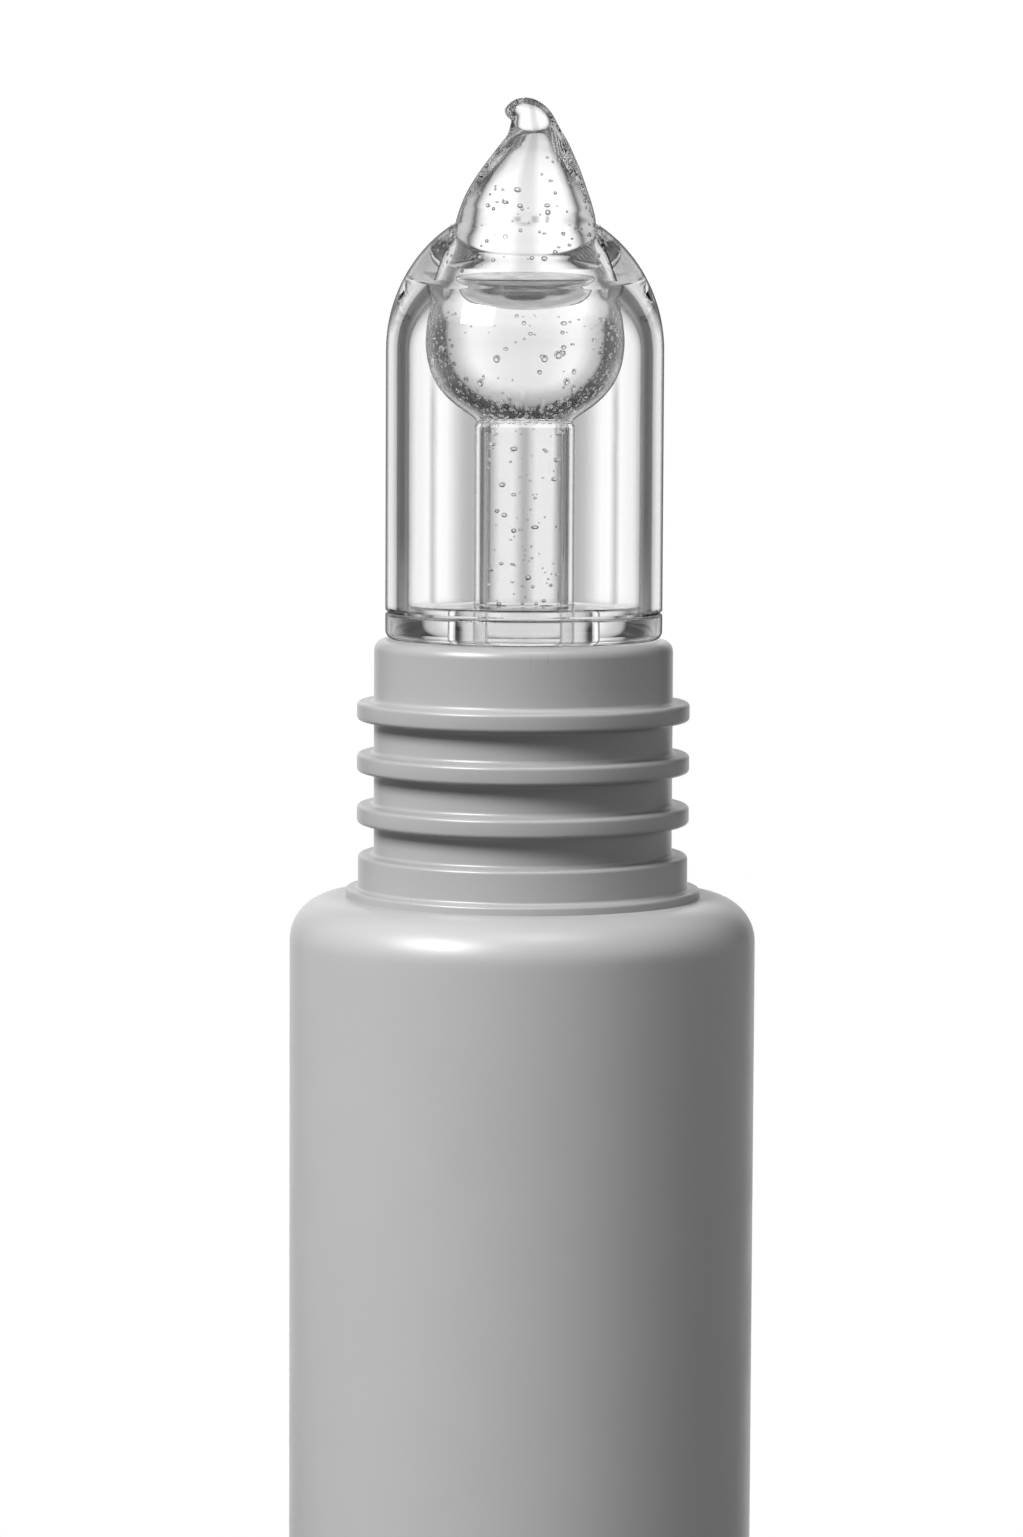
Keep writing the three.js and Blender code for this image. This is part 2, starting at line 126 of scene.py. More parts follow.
class SleeveSizes(bpy.types.PropertyGroup):
    """Sizes of the sleeve and its sealed tail"""

    wall: length("Wall", "Thickness of the sleeve", 0.5)
    shoulder_radius: length("Shoulder radius", "Rounding of the shoulder's outer edge", 1.8)
    shoulder_wall: length("Shoulder wall", "Thickness of the flat shoulder", 0.8)
    mouth_diameter: length("Mouth diameter", "Opening in the shoulder", 11.8)
    taper_length: length("Taper length", "Length over which the sleeve goes from round to flat", 27)
    tail_height: length("Tail height", "Height of the sealed tail", 4.5)
    tail_thickness: length("Tail thickness", "Thickness of the sealed tail", 1.1)
    tail_flatness: number("Tail flatness", "How square the pressed section is", 3.2)
    seal_slit: length("Seal slit", "Gap at which the hollow inside closes", 0.5)
    rib_count: count("Seal ribs", "Crimp ribs across the sealed tail", 9)
    rib_depth: length("Seal rib depth", "Depth of the crimp ribs", 0.07)
    rib_margin: length("Seal margin", "Plain strip above and below the ribs", 0.45)


class NeckSizes(bpy.types.PropertyGroup):
    """Sizes of the ringed neck"""

    diameter: length("Neck diameter", "Outside of the plain neck wall", 12.16)
    bore: length("Neck bore", "Inside of the neck", 9)
    rim_round: length("Rim round", "Rounding of the neck's top edge", 0.48)
    ring_count: count("Rings", "Ring beads on the neck", 3)
    ring_pitch: length("Ring pitch", "Distance between ring beads", 2.1)
    ring_standout: length("Ring standout", "How far a ring bead stands out", 0.69)
    ring_height: length("Ring height", "Height of a ring bead", 0.77)
    ring_drop: length("Ring drop", "From the rim to the middle of the top ring", 2.92)
    ring_round: length("Ring round", "Rounding of a ring's crest", 0.17)
    ring_root: length("Ring root", "Fillet where a ring meets the neck", 0.2)
    collar_standout: length("Collar standout", "How far the collar stands out", 0.64)
    collar_height: length("Collar height", "Height of the collar above the shoulder", 1.73)
    collar_round: length("Collar round", "Rounding of the collar's edges", 0.16)
    flange_standout: length("Flange standout", "How far the flange reaches past the collar", 0.51)
    flange_height: length("Flange height", "Height of the flange lip", 0.36)
    flange_round: length("Flange round", "Rounding of the flange's edges", 0.13)
    snap_gap: length("Snap gap", "Play of the spigot in the sleeve's mouth", 0.1)
    snap_standout: length("Snap standout", "How far the snap bead grips under the shoulder", 0.4)
    snap_height: length("Snap height", "Height of the snap bead's straight edge", 0.4)


class TipSizes(bpy.types.PropertyGroup):
    """Sizes of the clear applicator tip"""

    gap: length("Fit gap", "Play between the tip's clear pieces", 0.05)
    plug_gap: length("Plug gap", "Play of the plug in the neck's bore", 0.1)
    plug_wall: length("Plug wall", "Thickness of the plug's skirt", 0.9)
    plug_chamfer: length("Plug chamfer", "Lead-in at the plug's end", 0.3)
    disc_round: length("Disc round", "Rounding of the disc's lower edge", 0.35)
    edge_round: length("Edge round", "Rounding of the joint's edges", 0.12)
    dome_wall: length("Dome wall", "Thickness of the dome's straight wall", 0.85)
    dome_straight: length("Dome straight", "Height of the dome's straight wall", 10.6)
    dome_rise: length("Dome rise", "Height of the dome's rounded crown", 5.95)
    cavity_rise: length("Cavity rise", "Height of the hollow's rounded ceiling", 4.05)
    feed_diameter: length("Feed diameter", "Outside of the feed tube", 4.04)
    feed_wall: length("Feed wall", "Thickness of the feed tube", 0.44)
    foot_diameter: length("Foot diameter", "Foot flange under the disc", 5.2)
    bulb_wall: length("Bulb wall", "Thickness of the bulb", 0.35)
    bulb_diameter: length("Bulb diameter", "Widest part of the bulb", 8.06)
    bulb_height: length("Bulb height", "From the disc to the bulb's middle", 11.19)
    bulb_drop: length("Bulb drop", "From the bulb's middle to its lower end", 3.6)
    crown_hole: length("Crown hole", "Hole in the underside of the crown", 7.7)
    slot_ledge: length("Slot ledge", "From the crown's underside to the bottom of its slot", 0.4)
    slot_fade: length("Slot fade", "How far gel smears the crown below its slot", 1.0)
    smear_fade: length("Smear fade", "Width over which the smear fades at the slot's sides", 0.5)
    lip_fade: length("Lip fade", "How far below its lip the bulb's neck blends into the gel", 0.9)
    flare_fade: length("Flare fade", "How far above the feed tube the gel starts to cling", 1.0)
    patch_size: length("Patch size", "Size of the patches where the gel clings unevenly", 0.4)
    lip_wall: length("Lip wall", "Thickness of the bulb at its lip", 0.12)
    throat_diameter: length("Throat diameter", "Dispensing hole at the top of the crown", 5.8)
    throat_rise: length("Throat rise", "From the bulb's middle to where it starts to draw in", 0.78)
    throat_ease: number("Throat ease", "Slope at the top of the crown, as a share of the mean slope", 0.5)
    flare_sharpness: number("Flare sharpness", "How tightly the bulb turns into the feed tube", 4)


class GelSizes(bpy.types.PropertyGroup):
    """Sizes of the gel and its bubbles"""

    wall_gap: length("Wall gap", "Distance between the gel and the clear walls", 0.06)
    fill_gap: length("Fill gap", "Distance between the charge and the sleeve", 0.3)
    peak_height: length("Peak height", "From the crown to the top of the gel peak", 5.06)
    peak_lean: length("Peak lean", "How far the peak's top leans forward", 0.25)
    lean_power: number("Lean power", "How suddenly the lean sets in", 4)
    feed_bubbles: count("Bubbles in the feed", "Bubbles in the feed tube", 120)
    bulb_bubbles: count("Bubbles in the bulb", "Bubbles in the bulb", 120)
    peak_bubbles: count("Bubbles in the peak", "Bubbles in the gel peak", 44)
    bulb_froth: count("Froth in the bulb", "Tiny bubbles along the skin of the bulb's gel", 300)
    peak_froth: count("Froth in the peak", "Tiny bubbles along the skin of the gel peak", 50)
    bubble_least: length("Smallest bubble", "Radius of the smallest bubbles", 0.03)
    bubble_most: length("Largest bubble", "Radius of the largest bubbles", 0.115)
    froth_least: length("Smallest froth", "Radius of the smallest bubbles along the skin", 0.05)
    froth_most: length("Largest froth", "Radius of the largest bubbles along the skin", 0.12)
    pocket_diameter: length("Pocket diameter", "Width of the flat air pocket under the crown", 3.8)
    pocket_level: length("Pocket level", "From the slot's bottom up to the pocket's edge", -0.3)
    pocket_sag: length("Pocket sag", "From the pocket's edge down to its bottom", 0.75)
    pocket_rise: length("Pocket rise", "From the pocket's edge up to its top", 0.2)
    # Froth on the pocket's skin is drawn as dark patches of painted shade
    pocket_froth_and_shade: share("Pocket froth", "How cloudy the froth on the pocket's skin is", 0.4)
    froth_and_shade_patch: length("Froth patches", "Size of the patches of froth on the pocket's skin", 0.5)


class Finishes(bpy.types.PropertyGroup):
    """Colours and gloss of the materials"""

    sleeve: grey("Sleeve", "Colour of the sleeve's plastic", 0.36)
    sleeve_roughness: share("Sleeve roughness", "Dullness of the sleeve", 0.36)
    neck: grey("Neck", "Colour of the neck's plastic", 0.30)
    neck_roughness: share("Neck roughness", "Dullness of the neck", 0.34)
    clear: grey("Clear plastic", "Tint of the clear plastic", 0.985)
    clear_index: number("Clear plastic index", "Refractive index of the clear plastic", 1.49)
    gel: grey("Gel", "Tint of the gel", 0.99)
    gel_index: number("Gel index", "Refractive index of the gel", 1.45)


class StageSettings(bpy.types.PropertyGroup):
    """Camera, lamps, surroundings, floor, screen and wall"""

    lens: FloatProperty(name="Lens", description="Focal length of the camera", default=118.26, unit="CAMERA")
    camera_distance: length("Camera distance", "From the camera to the tube's axis", 205)
    camera_level: length("Camera level", "Height of the camera", 83.5)
    camera_aside: length("Camera offset", "How far the camera stands to the left", 0.47)
    camera_pitch: angle("Camera pitch", "How far the camera looks down", 5.1)
    camera_roll: angle("Camera roll", "How far the camera is turned about its view", 0.27)
    softbox_width: length("Softbox width", "Width of each softbox", 320)
    softbox_height: length("Softbox height", "Height of each softbox", 240)
    softbox_distance: length("Softbox distance", "From the neck's rim to each softbox", 650)
    key_power: wattage("Key power", "Strength of the key softbox", 7.2)
    key_azimuth: angle("Key azimuth", "How far the key stands to the left of the camera", 50)
    key_elevation: angle("Key elevation", "How high the key stands", 40)
    top_power: wattage("Top light power", "Strength of the softbox overhead", 1.3)
    top_azimuth: angle("Top light azimuth", "How far the overhead softbox stands to the left", -20)
    top_elevation: angle("Top light elevation", "How high the overhead softbox stands", 72)
    fill_power: wattage("Fill power", "Strength of the fill softbox", 0.5)
    fill_azimuth: angle("Fill azimuth", "How far the fill stands to the left of the camera", -72)
    fill_elevation: angle("Fill elevation", "How high the fill stands", 15)
    back_power: wattage("Back light power", "Strength of the softbox behind the tube", 2.0)
    back_azimuth: angle("Back light azimuth", "How far the softbox behind the tube stands to the left", 180)
    back_elevation: angle("Back light elevation", "How high the softbox behind the tube stands", 8)
    catch_power: wattage("Catch light power", "Strength of the catch light", 4.6)
    catch_azimuth: angle("Catch light azimuth", "How far the catch light stands to the left", 43)
    catch_elevation: angle("Catch light elevation", "How high the catch light stands", 22)
    ambient: share("Ambient", "Level of the light from all round", 0.10)
    floor: grey("Floor", "Colour of the floor", 0.80)
    floor_near: length("Floor near", "Where the floor starts to fade to white", 70)
    floor_far: length("Floor far", "Where the floor is white", 125)
    # The round screen holds painted light and shade, seen only through the clear tip and in reflections
    screen_distance: length("Screen distance", "From the tip to the round screen behind it", 190)
    screen_end: angle("Screen end", "Outer edge of the screen, from straight behind", 100)
    screen_glow: number("Screen glow", "Level of the screen straight behind", 1.12)
    deep_glow: number("Deep glow", "Level of the screen as seen through all of the tip", 1.2)
    strip_low: length("Strips bottom", "Height on the screen where its strips start", 60)
    strip_high: length("Strips top", "Height on the screen where its strips end", 81)
    strip_fade: length("Strip fade", "Height over which the strips fade at their ends", 4)
    rim_top: length("Rim light top", "Height on the screen under which the sleeve mirrors it as white", 54)
    wall_distance: length("Wall distance", "From the tube to the wall in front of it", 500)
    wall_low: length("Wall bottom", "Height of the wall's lower edge", 30)
    wall_high: length("Wall top", "Height of the wall's upper edge", 240)
    wall_level: share("Wall level", "Grey of the wall in front", 0.25)


SETTINGS = {
    "tube_sleeve_sizes": SleeveSizes,
    "tube_neck_sizes": NeckSizes,
    "tube_tip_sizes": TipSizes,
    "tube_gel_sizes": GelSizes,
    "tube_finishes": Finishes,
    "tube_stage": StageSettings,
}


# Mesh helpers


def lerp(start, end, part):
    return start + (end - start) * part


def steps(total):
    """Shares from 0 to 1 in equal steps."""
    return [step / total for step in range(total + 1)]


def ellipse_height(radius, half_width, rise):
    """Height of an ellipse above its middle, at a distance from its axis."""
    return rise * math.sqrt(1 - (radius / half_width) ** 2)


def search(low, high, is_low):
    """The value between low and high where is_low stops being true."""
    for _ in range(SEARCH_STEPS):
        middle = (low + high) / 2
        if is_low(middle):
            low = middle
        else:
            high = middle
    return (low + high) / 2


def spun(bm, segments):
    """Turns the outline in bm about Z and closes its seam and poles."""
    outline = list(bm.verts) + list(bm.edges)
    bmesh.ops.spin(bm, geom=outline, cent=(0, 0, 0), axis=(0, 0, 1), dvec=(0, 0, 0),
                   angle=2 * math.pi, steps=segments, use_merge=True)
    bmesh.ops.remove_doubles(bm, verts=list(bm.verts), dist=MERGE_DISTANCE)
    bmesh.ops.dissolve_degenerate(bm, edges=list(bm.edges), dist=MERGE_DISTANCE)
    bmesh.ops.recalc_face_normals(bm, faces=list(bm.faces))
    return bm


def turned_corners(corners, segments, round_steps):
    """Turns a closed outline of (radius, level, rounding) corners about Z."""
    bm = bmesh.new()
    verts = [bm.verts.new((radius, 0, level)) for radius, level, _ in corners]
    bm.faces.new(verts)
    for size in sorted({size for _, _, size in corners if size > 0}):
        chosen = [vert for vert, corner in zip(verts, corners) if corner[2] == size]
        bmesh.ops.bevel(bm, geom=chosen, offset=size, offset_type="OFFSET", affect="VERTICES",
                        segments=round_steps, profile=0.5, material=-1, clamp_overlap=False)
    bmesh.ops.delete(bm, geom=list(bm.faces), context="FACES_ONLY")
    return spun(bm, segments)


def turned_path(points, segments):
    """Turns a path of (radius, level) points about Z; it closes on itself or on the axis."""
    bm = bmesh.new()
    verts = [bm.verts.new((radius, 0, level)) for radius, level in points]
    for pair in zip(verts, verts[1:]):
        bm.edges.new(pair)
    if points[0][0] > 0 and points[-1][0] > 0:
        bm.edges.new((verts[-1], verts[0]))
    return spun(bm, segments)


def lofted(place, rings, segments):
    """Skins rings of points: place(ring, turn) gives a point, turn runs round the ring in radians."""
    bm = bmesh.new()
    bmesh.ops.create_circle(bm, cap_ends=True, radius=1, segments=segments)
    edges = list(bm.edges)
    for _ in range(rings - 1):
        made = bmesh.ops.extrude_edge_only(bm, edges=edges)["geom"]
        verts = {item for item in made if isinstance(item, bmesh.types.BMVert)}
        edges = [edge for edge in made if isinstance(edge, bmesh.types.BMEdge)]
        edges = [edge for edge in edges if verts.issuperset(edge.verts)]
        bmesh.ops.translate(bm, verts=list(verts), vec=(0, 0, 1))
    bmesh.ops.holes_fill(bm, edges=edges, sides=0)
    for vert in bm.verts:
        vert.co = place(round(vert.co.z), math.atan2(vert.co.x, -vert.co.y))
    bmesh.ops.remove_doubles(bm, verts=list(bm.verts), dist=MERGE_DISTANCE)
    bmesh.ops.recalc_face_normals(bm, faces=list(bm.faces))
    return bm


SHARP_ANGLE = math.radians(40)
FLAT_WEIGHT = 60


def finished_piece(name, bm, material, slot, *nodes):
    """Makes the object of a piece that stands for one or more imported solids."""
    mesh = bpy.data.meshes.new(name)
    bm.to_mesh(mesh)
    bm.free()
    mesh.shade_smooth()
    mesh.set_sharp_from_angle(angle=SHARP_ANGLE)
    mesh.materials.append(material)
    piece = bpy.data.objects.new(name, mesh)
    bpy.context.scene.collection.objects.link(piece)
    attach(piece, BODY)
    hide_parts(*nodes)
    return piece


WETTED = "wetted"
FROTH_AND_SHADE = "froth_and_shade"


def mark_wetted(bm, amount):
    """Marks where the gel clings to the clear plastic, so that light passes straight through."""
    layer = bm.verts.layers.float.new(WETTED)
    for vert in bm.verts:
        vert[layer] = float(amount(vert.co))


def weigh_normals(piece):
    """Keeps the flat stretches flat in shading, beside their rounded edges."""
    modifier = piece.modifiers.new("Flat stretches", "WEIGHTED_NORMAL")
    modifier.keep_sharp = True
    modifier.weight = FLAT_WEIGHT


# Node helpers


def new_material(name):
    """An empty node material and its tree."""
    material = bpy.data.materials.new(name)
    material.use_nodes = True
    material.node_tree.nodes.clear()
    return material, material.node_tree


def add_node(tree, kind, inputs=None, **settings):
    """Adds a node, sets its properties and its inputs; an input that is a socket is linked."""
    node = tree.nodes.new(kind)
    for key, value in settings.items():
        setattr(node, key, value)
    for key, value in (inputs or {}).items():
        if isinstance(value, bpy.types.NodeSocket):
            tree.links.new(value, node.inputs[key])
        else:
            node.inputs[key].default_value = value
    return node


def new_group(name, inputs, outputs):
    """An empty shader node group with named float and vector sockets."""
    tree = bpy.data.node_groups.new(name, "ShaderNodeTree")
    for socket, (kind, default) in inputs.items():
        made = tree.interface.new_socket(socket, in_out="INPUT", socket_type=kind)
        if default is not None:
            made.default_value = default
    for socket in outputs:
        tree.interface.new_socket(socket, in_out="OUTPUT", socket_type="NodeSocketFloat")
    entry = tree.nodes.new("NodeGroupInput")
    leave = tree.nodes.new("NodeGroupOutput")
    return tree, entry.outputs, leave.inputs


def ranged(tree, value, low, high, to_low, to_high):
    """The value, mapped from one range to another and held there."""
    node = add_node(tree, "ShaderNodeMapRange", {
        "Value": value, "From Min": low, "From Max": high, "To Min": to_low, "To Max": to_high,
    })
    return node.outputs["Result"]


def math_node(tree, operation, *values):
    node = add_node(tree, "ShaderNodeMath", dict(enumerate(values)), operation=operation)
    return node.outputs["Value"]


def vector_math(tree, operation, *values):
    node = add_node(tree, "ShaderNodeVectorMath", dict(enumerate(values)), operation=operation)
    return node.outputs["Vector"]


def components(tree, vector):
    """The X, Y and Z of a vector, by name."""
    return add_node(tree, "ShaderNodeSeparateXYZ", {"Vector": vector}).outputs


def blended(tree, factor, first, second):
    """A level between two levels, by a factor from 0 to 1."""
    mix = add_node(tree, "ShaderNodeMix", {"Factor": factor, "A": first, "B": second})
    return mix.outputs["Result"]


def scaled_colour(colour, level):
    return (*[channel * level for channel in colour], 1.0)


def grey_colour(level):
    return (level, level, level, 1.0)


def mottled(tree, factor, colour, lowest, highest):
    """A colour between its lowest and its highest level, by a factor from 0 to 1."""
    mix = add_node(tree, "ShaderNodeMix", {
        "Factor": factor, "A": scaled_colour(colour, lowest), "B": scaled_colour(colour, highest),
    }, data_type="RGBA")
    return next(socket for socket in mix.outputs if socket.type == "RGBA")


# Finishes

# Stretches of the noise that show as smudges and as rubs, and how the rubs are drawn out along the tube
SMUDGE_RANGE = (0.45, 0.75)
RUB_RANGE = (0.62, 0.74)
RUB_STRETCH = (1.0, 1.0, 0.06)


def moulding_group():
    """Fine moulded grain and broad flow mottling, both from 0 to 1."""
    name = "Moulding"
    if name in bpy.data.node_groups:
        return bpy.data.node_groups[name]
    tree, entry, leave = new_group(name, {
        "Position": ("NodeSocketVector", None),
        "Grain scale": ("NodeSocketFloat", 9000.0),
        "Flow scale": ("NodeSocketFloat", 260.0),
    }, ("Grain", "Flow"))
    grain = add_node(tree, "ShaderNodeTexNoise", {
        "Vector": entry["Position"], "Scale": entry["Grain scale"], "Detail": 3.0, "Roughness": 0.6,
    })
    flow = add_node(tree, "ShaderNodeTexNoise", {
        "Vector": entry["Position"], "Scale": entry["Flow scale"], "Detail": 4.0, "Roughness": 0.5,
        "Distortion": 0.6,
    })
    tree.links.new(grain.outputs["Fac"], leave["Grain"])
    tree.links.new(flow.outputs["Fac"], leave["Flow"])
    return tree


def handling_group():
    """Where handling has dulled a surface: soft smudges and hairline rubs, both from 0 to 1."""
    name = "Handling"
    if name in bpy.data.node_groups:
        return bpy.data.node_groups[name]
    tree, entry, leave = new_group(name, {
        "Position": ("NodeSocketVector", None),
        "Smudge scale": ("NodeSocketFloat", 320.0),
        "Rub scale": ("NodeSocketFloat", 2400.0),
    }, ("Smudge", "Rub"))
    smudge = add_node(tree, "ShaderNodeTexNoise", {
        "Vector": entry["Position"], "Scale": entry["Smudge scale"], "Detail": 2.0, "Roughness": 0.55,
    })
    drawn = add_node(tree, "ShaderNodeMapping", {"Vector": entry["Position"], "Scale": RUB_STRETCH})
    rub = add_node(tree, "ShaderNodeTexNoise", {
        "Vector": drawn.outputs["Vector"], "Scale": entry["Rub scale"], "Detail": 2.0, "Roughness": 0.7,
    })
    tree.links.new(ranged(tree, smudge.outputs["Fac"], *SMUDGE_RANGE, 0.0, 1.0), leave["Smudge"])
    tree.links.new(ranged(tree, rub.outputs["Fac"], *RUB_RANGE, 0.0, 1.0), leave["Rub"])
    return tree


def place_group(tree, group, position, **values):
    """Places a group in a material; an underscore in a value's name stands for a space."""
    node = add_node(tree, "ShaderNodeGroup", node_tree=group)
    tree.links.new(position, node.inputs["Position"])
    for key, value in values.items():
        node.inputs[key.replace("_", " ")].default_value = value
    return node.outputs


def object_position(tree):
    return add_node(tree, "ShaderNodeTexCoord").outputs["Object"]


MOTTLE = 0.035
GRAIN_HEIGHT = 0.01 * MM
GRAIN_STRENGTH = 0.25
SATIN_INDEX = 1.5

# Changes of the satin's roughness where it is clean, smudged and rubbed
CLEAN_CHANGE, SMUDGE_CHANGE, RUB_CHANGE = -0.02, 0.05, -0.05


def satin_plastic(name, colour, roughness):
    """Satin moulded plastic: faint flow mottling, fine grain, and gloss dulled by handling."""
    material, tree = new_material(name)
    position = object_position(tree)
    moulding = place_group(tree, moulding_group(), position)
    handling = place_group(tree, handling_group(), position)
    tint = mottled(tree, moulding["Flow"], colour, 1 - MOTTLE, 1 + MOTTLE)
    dull = ranged(tree, handling["Smudge"], 0.0, 1.0, roughness + CLEAN_CHANGE, roughness + SMUDGE_CHANGE)
    rubbed = math_node(tree, "MULTIPLY_ADD", handling["Rub"], RUB_CHANGE, dull)
    bump = add_node(tree, "ShaderNodeBump", {
        "Height": moulding["Grain"], "Strength": GRAIN_STRENGTH, "Distance": GRAIN_HEIGHT,
    })
    shader = add_node(tree, "ShaderNodeBsdfPrincipled", {
        "Base Color": tint, "Roughness": rubbed, "Normal": bump.outputs["Normal"], "IOR": SATIN_INDEX,
    })
    add_node(tree, "ShaderNodeOutputMaterial", {"Surface": shader.outputs["BSDF"]})
    return material


CLEAR_MOTTLE = 0.015
CLEAR_SMUDGE = 0.02
RIPPLE_HEIGHT = 0.004 * MM
PLASTIC_RIPPLES = 200.0
GEL_RIPPLES = 300.0

# Painted shade along the edges where a clear surface turns away from the eye: how far it has turned, how
# dark it gets, and its grey. It leaves out surfaces that are nearly level, by the square of the normal's
# rise.
PAINTED_EDGE_RANGE = (0.76, 0.87)
PAINTED_EDGE_DEPTH = 0.85
PAINTED_EDGE_GREY = 0.1
LEVEL_RANGE = (0.85, 0.97)


def clear_material(name, colour, index, ripple_scale):
    """Clear plastic or gel: faint tint changes, a trace of smudging, gentle ripples and painted shade at its
    edges.

    Light passes straight through where it is wetted, and where it is frothy a dark grey is mixed in, partly
    froth and partly painted shade.
    """
    material, tree = new_material(name)
    position = object_position(tree)
    moulding = place_group(tree, moulding_group(), position, Flow_scale=ripple_scale)
    handling = place_group(tree, handling_group(), position)
    tint = mottled(tree, moulding["Flow"], colour, 1 - CLEAR_MOTTLE, 1.0)
    dull = ranged(tree, handling["Smudge"], 0.0, 1.0, 0.0, CLEAR_SMUDGE)
    bump = add_node(tree, "ShaderNodeBump", {
        "Height": moulding["Flow"], "Strength": 1.0, "Distance": RIPPLE_HEIGHT,
    })
    wetted = add_node(tree, "ShaderNodeAttribute", attribute_name=WETTED).outputs["Fac"]
    froth_and_shade = add_node(tree, "ShaderNodeAttribute", attribute_name=FROTH_AND_SHADE).outputs["Fac"]
    shader = add_node(tree, "ShaderNodeBsdfPrincipled", {
        "Base Color": tint, "Roughness": dull, "Normal": bump.outputs["Normal"],
        "IOR": ranged(tree, wetted, 0.0, 1.0, index, 1.0), "Transmission Weight": 1.0,
    })
    # Painted shade: a dark grey is mixed in where a dry, steep clear surface turns away from the eye
    grazing = add_node(tree, "ShaderNodeLayerWeight", {"Blend": 0.5}).outputs["Facing"]
    upward = components(tree, add_node(tree, "ShaderNodeTexCoord").outputs["Normal"])["Z"]
    steep = ranged(tree, math_node(tree, "MULTIPLY", upward, upward), *LEVEL_RANGE, 1.0, 0.0)
    dry = math_node(tree, "MULTIPLY", ranged(tree, wetted, 0.0, 1.0, 1.0, 0.0), steep)
    edge = math_node(tree, "MULTIPLY", ranged(tree, grazing, *PAINTED_EDGE_RANGE, 0.0, PAINTED_EDGE_DEPTH), dry)
    # The dark grey goes in at the painted edges and on the frothy skin, which is partly froth and partly
    # painted shade
    darkened = math_node(tree, "MAXIMUM", edge, froth_and_shade)
    dark = add_node(tree, "ShaderNodeBsdfDiffuse", {"Color": grey_colour(PAINTED_EDGE_GREY)})
    mixed = add_node(tree, "ShaderNodeMixShader", {
        0: darkened, 1: shader.outputs["BSDF"], 2: dark.outputs["BSDF"],
    })
    add_node(tree, "ShaderNodeOutputMaterial", {"Surface": mixed.outputs["Shader"]})
    return material


def finish(name):
    """The named material, made the first time that a piece asks for it."""
    if name in bpy.data.materials:
        return bpy.data.materials[name]
    finishes = bpy.context.scene.tube_finishes
    if name == "satin sleeve":
        return satin_plastic(name, finishes.sleeve, finishes.sleeve_roughness)
    if name == "satin neck":
        return satin_plastic(name, finishes.neck, finishes.neck_roughness)
    if name == "clear plastic":
        return clear_material(name, finishes.clear, finishes.clear_index, PLASTIC_RIPPLES)
    if name == "clear gel":
        return clear_material(name, finishes.gel, finishes.gel_index, GEL_RIPPLES)
    raise KeyError(f"there is no finish named {name}")


# Sleeve

SLEEVE_SEGMENTS = 144
SHOULDER_STEPS = 16
TAPER_STEPS = 44
INNER_TAPER_STEPS = 24
RIB_STEPS = 6
PERIMETER_STEPS = 48

# Distance of the rings that keep the straight stretches straight beside their curves
SUPPORT_GAP = 0.4 * MM

# How late in the taper the broad sides flatten, and how late their edges harden
FLATTEN_POWER = 3
HARDEN_POWER = 12


def soft_press(swell, flatness):
    """Reach across a pressed section, as a share, with smoothly flattened broad sides."""
    return flatness * swell / math.sqrt(1 + (flatness ** 2 - 1) * swell ** 2)


def hard_press(swell, flatness):
    """Reach across a pressed section, as a share, with dead flat broad sides."""
    return max(-1.0, min(1.0, flatness * swell))


def section_point(section, turn):
    """A point of a sleeve section (half width, half thickness, flatness, hardness, level)."""
    half_width, half_thickness, flatness, hardness, level = section
    swell = math.cos(turn)
    reach = lerp(soft_press(swell, flatness), hard_press(swell, flatness), hardness)
    return Vector((half_width * math.sin(turn), -half_thickness * reach, level))


def round_section(radius, level):
    """A round section of the sleeve."""
    return radius, radius, 1.0, 0.0, level


def perimeter(section):
    """Length round a section."""
    points = [section_point(section, 2 * math.pi * part) for part in steps(PERIMETER_STEPS)]
    return sum((end - start).length for start, end in zip(points, points[1:]))


def pressed_half_width(half_thickness, flatness, hardness):
    """Half width of a pressed section whose perimeter is still that of the round sleeve."""
    wanted = perimeter(round_section(SLEEVE_RADIUS, 0.0))

    def too_narrow(half_width):
        return perimeter((half_width, half_thickness, flatness, hardness, 0.0)) < wanted

    return search(0.0, 2 * SLEEVE_RADIUS, too_narrow)


def taper_half_thickness(sizes, part):
    """Half the sleeve's thickness at a share of the way from round to the sealed tail."""
    return lerp(SLEEVE_RADIUS, sizes.tail_thickness / 2, part * part * (2 - part))


def taper_section(sizes, part, inset):
    """The sleeve's section at a share of the way from round to the sealed tail."""
    half_thickness = taper_half_thickness(sizes, part)
    flatness = lerp(1.0, sizes.tail_flatness, part ** FLATTEN_POWER)
    hardness = part ** HARDEN_POWER
    half_width = pressed_half_width(half_thickness, flatness, hardness)
    level = sizes.tail_height + sizes.taper_length * (1 - part)
    return half_width - inset, half_thickness - inset, flatness, hardness, level


def tail_sections(sizes):
    """Sections up the sealed tail, with its crimp ribs."""
    half_width, half_thickness, flatness, hardness, _ = taper_section(sizes, 1.0, 0.0)
    ribbed = sizes.tail_height - 2 * sizes.rib_margin
    made = [(half_width, half_thickness, flatness, hardness, 0.0)]
    for part in steps(sizes.rib_count * RIB_STEPS):
        dip = sizes.rib_depth * (1 - math.cos(2 * math.pi * part * sizes.rib_count)) / 2
        level = sizes.rib_margin + ribbed * part
        made.append((half_width, half_thickness - dip, flatness, hardness, level))
    return made


def shoulder_sections(centre_radius, centre_level, radius, total):
    """Sections round the shoulder's quarter turn, from the side up to the flat top."""
    turns = [math.pi / 2 * part for part in steps(total)]
    return [
        round_section(centre_radius + radius * math.cos(turn), centre_level + radius * math.sin(turn))
        for turn in turns
    ]


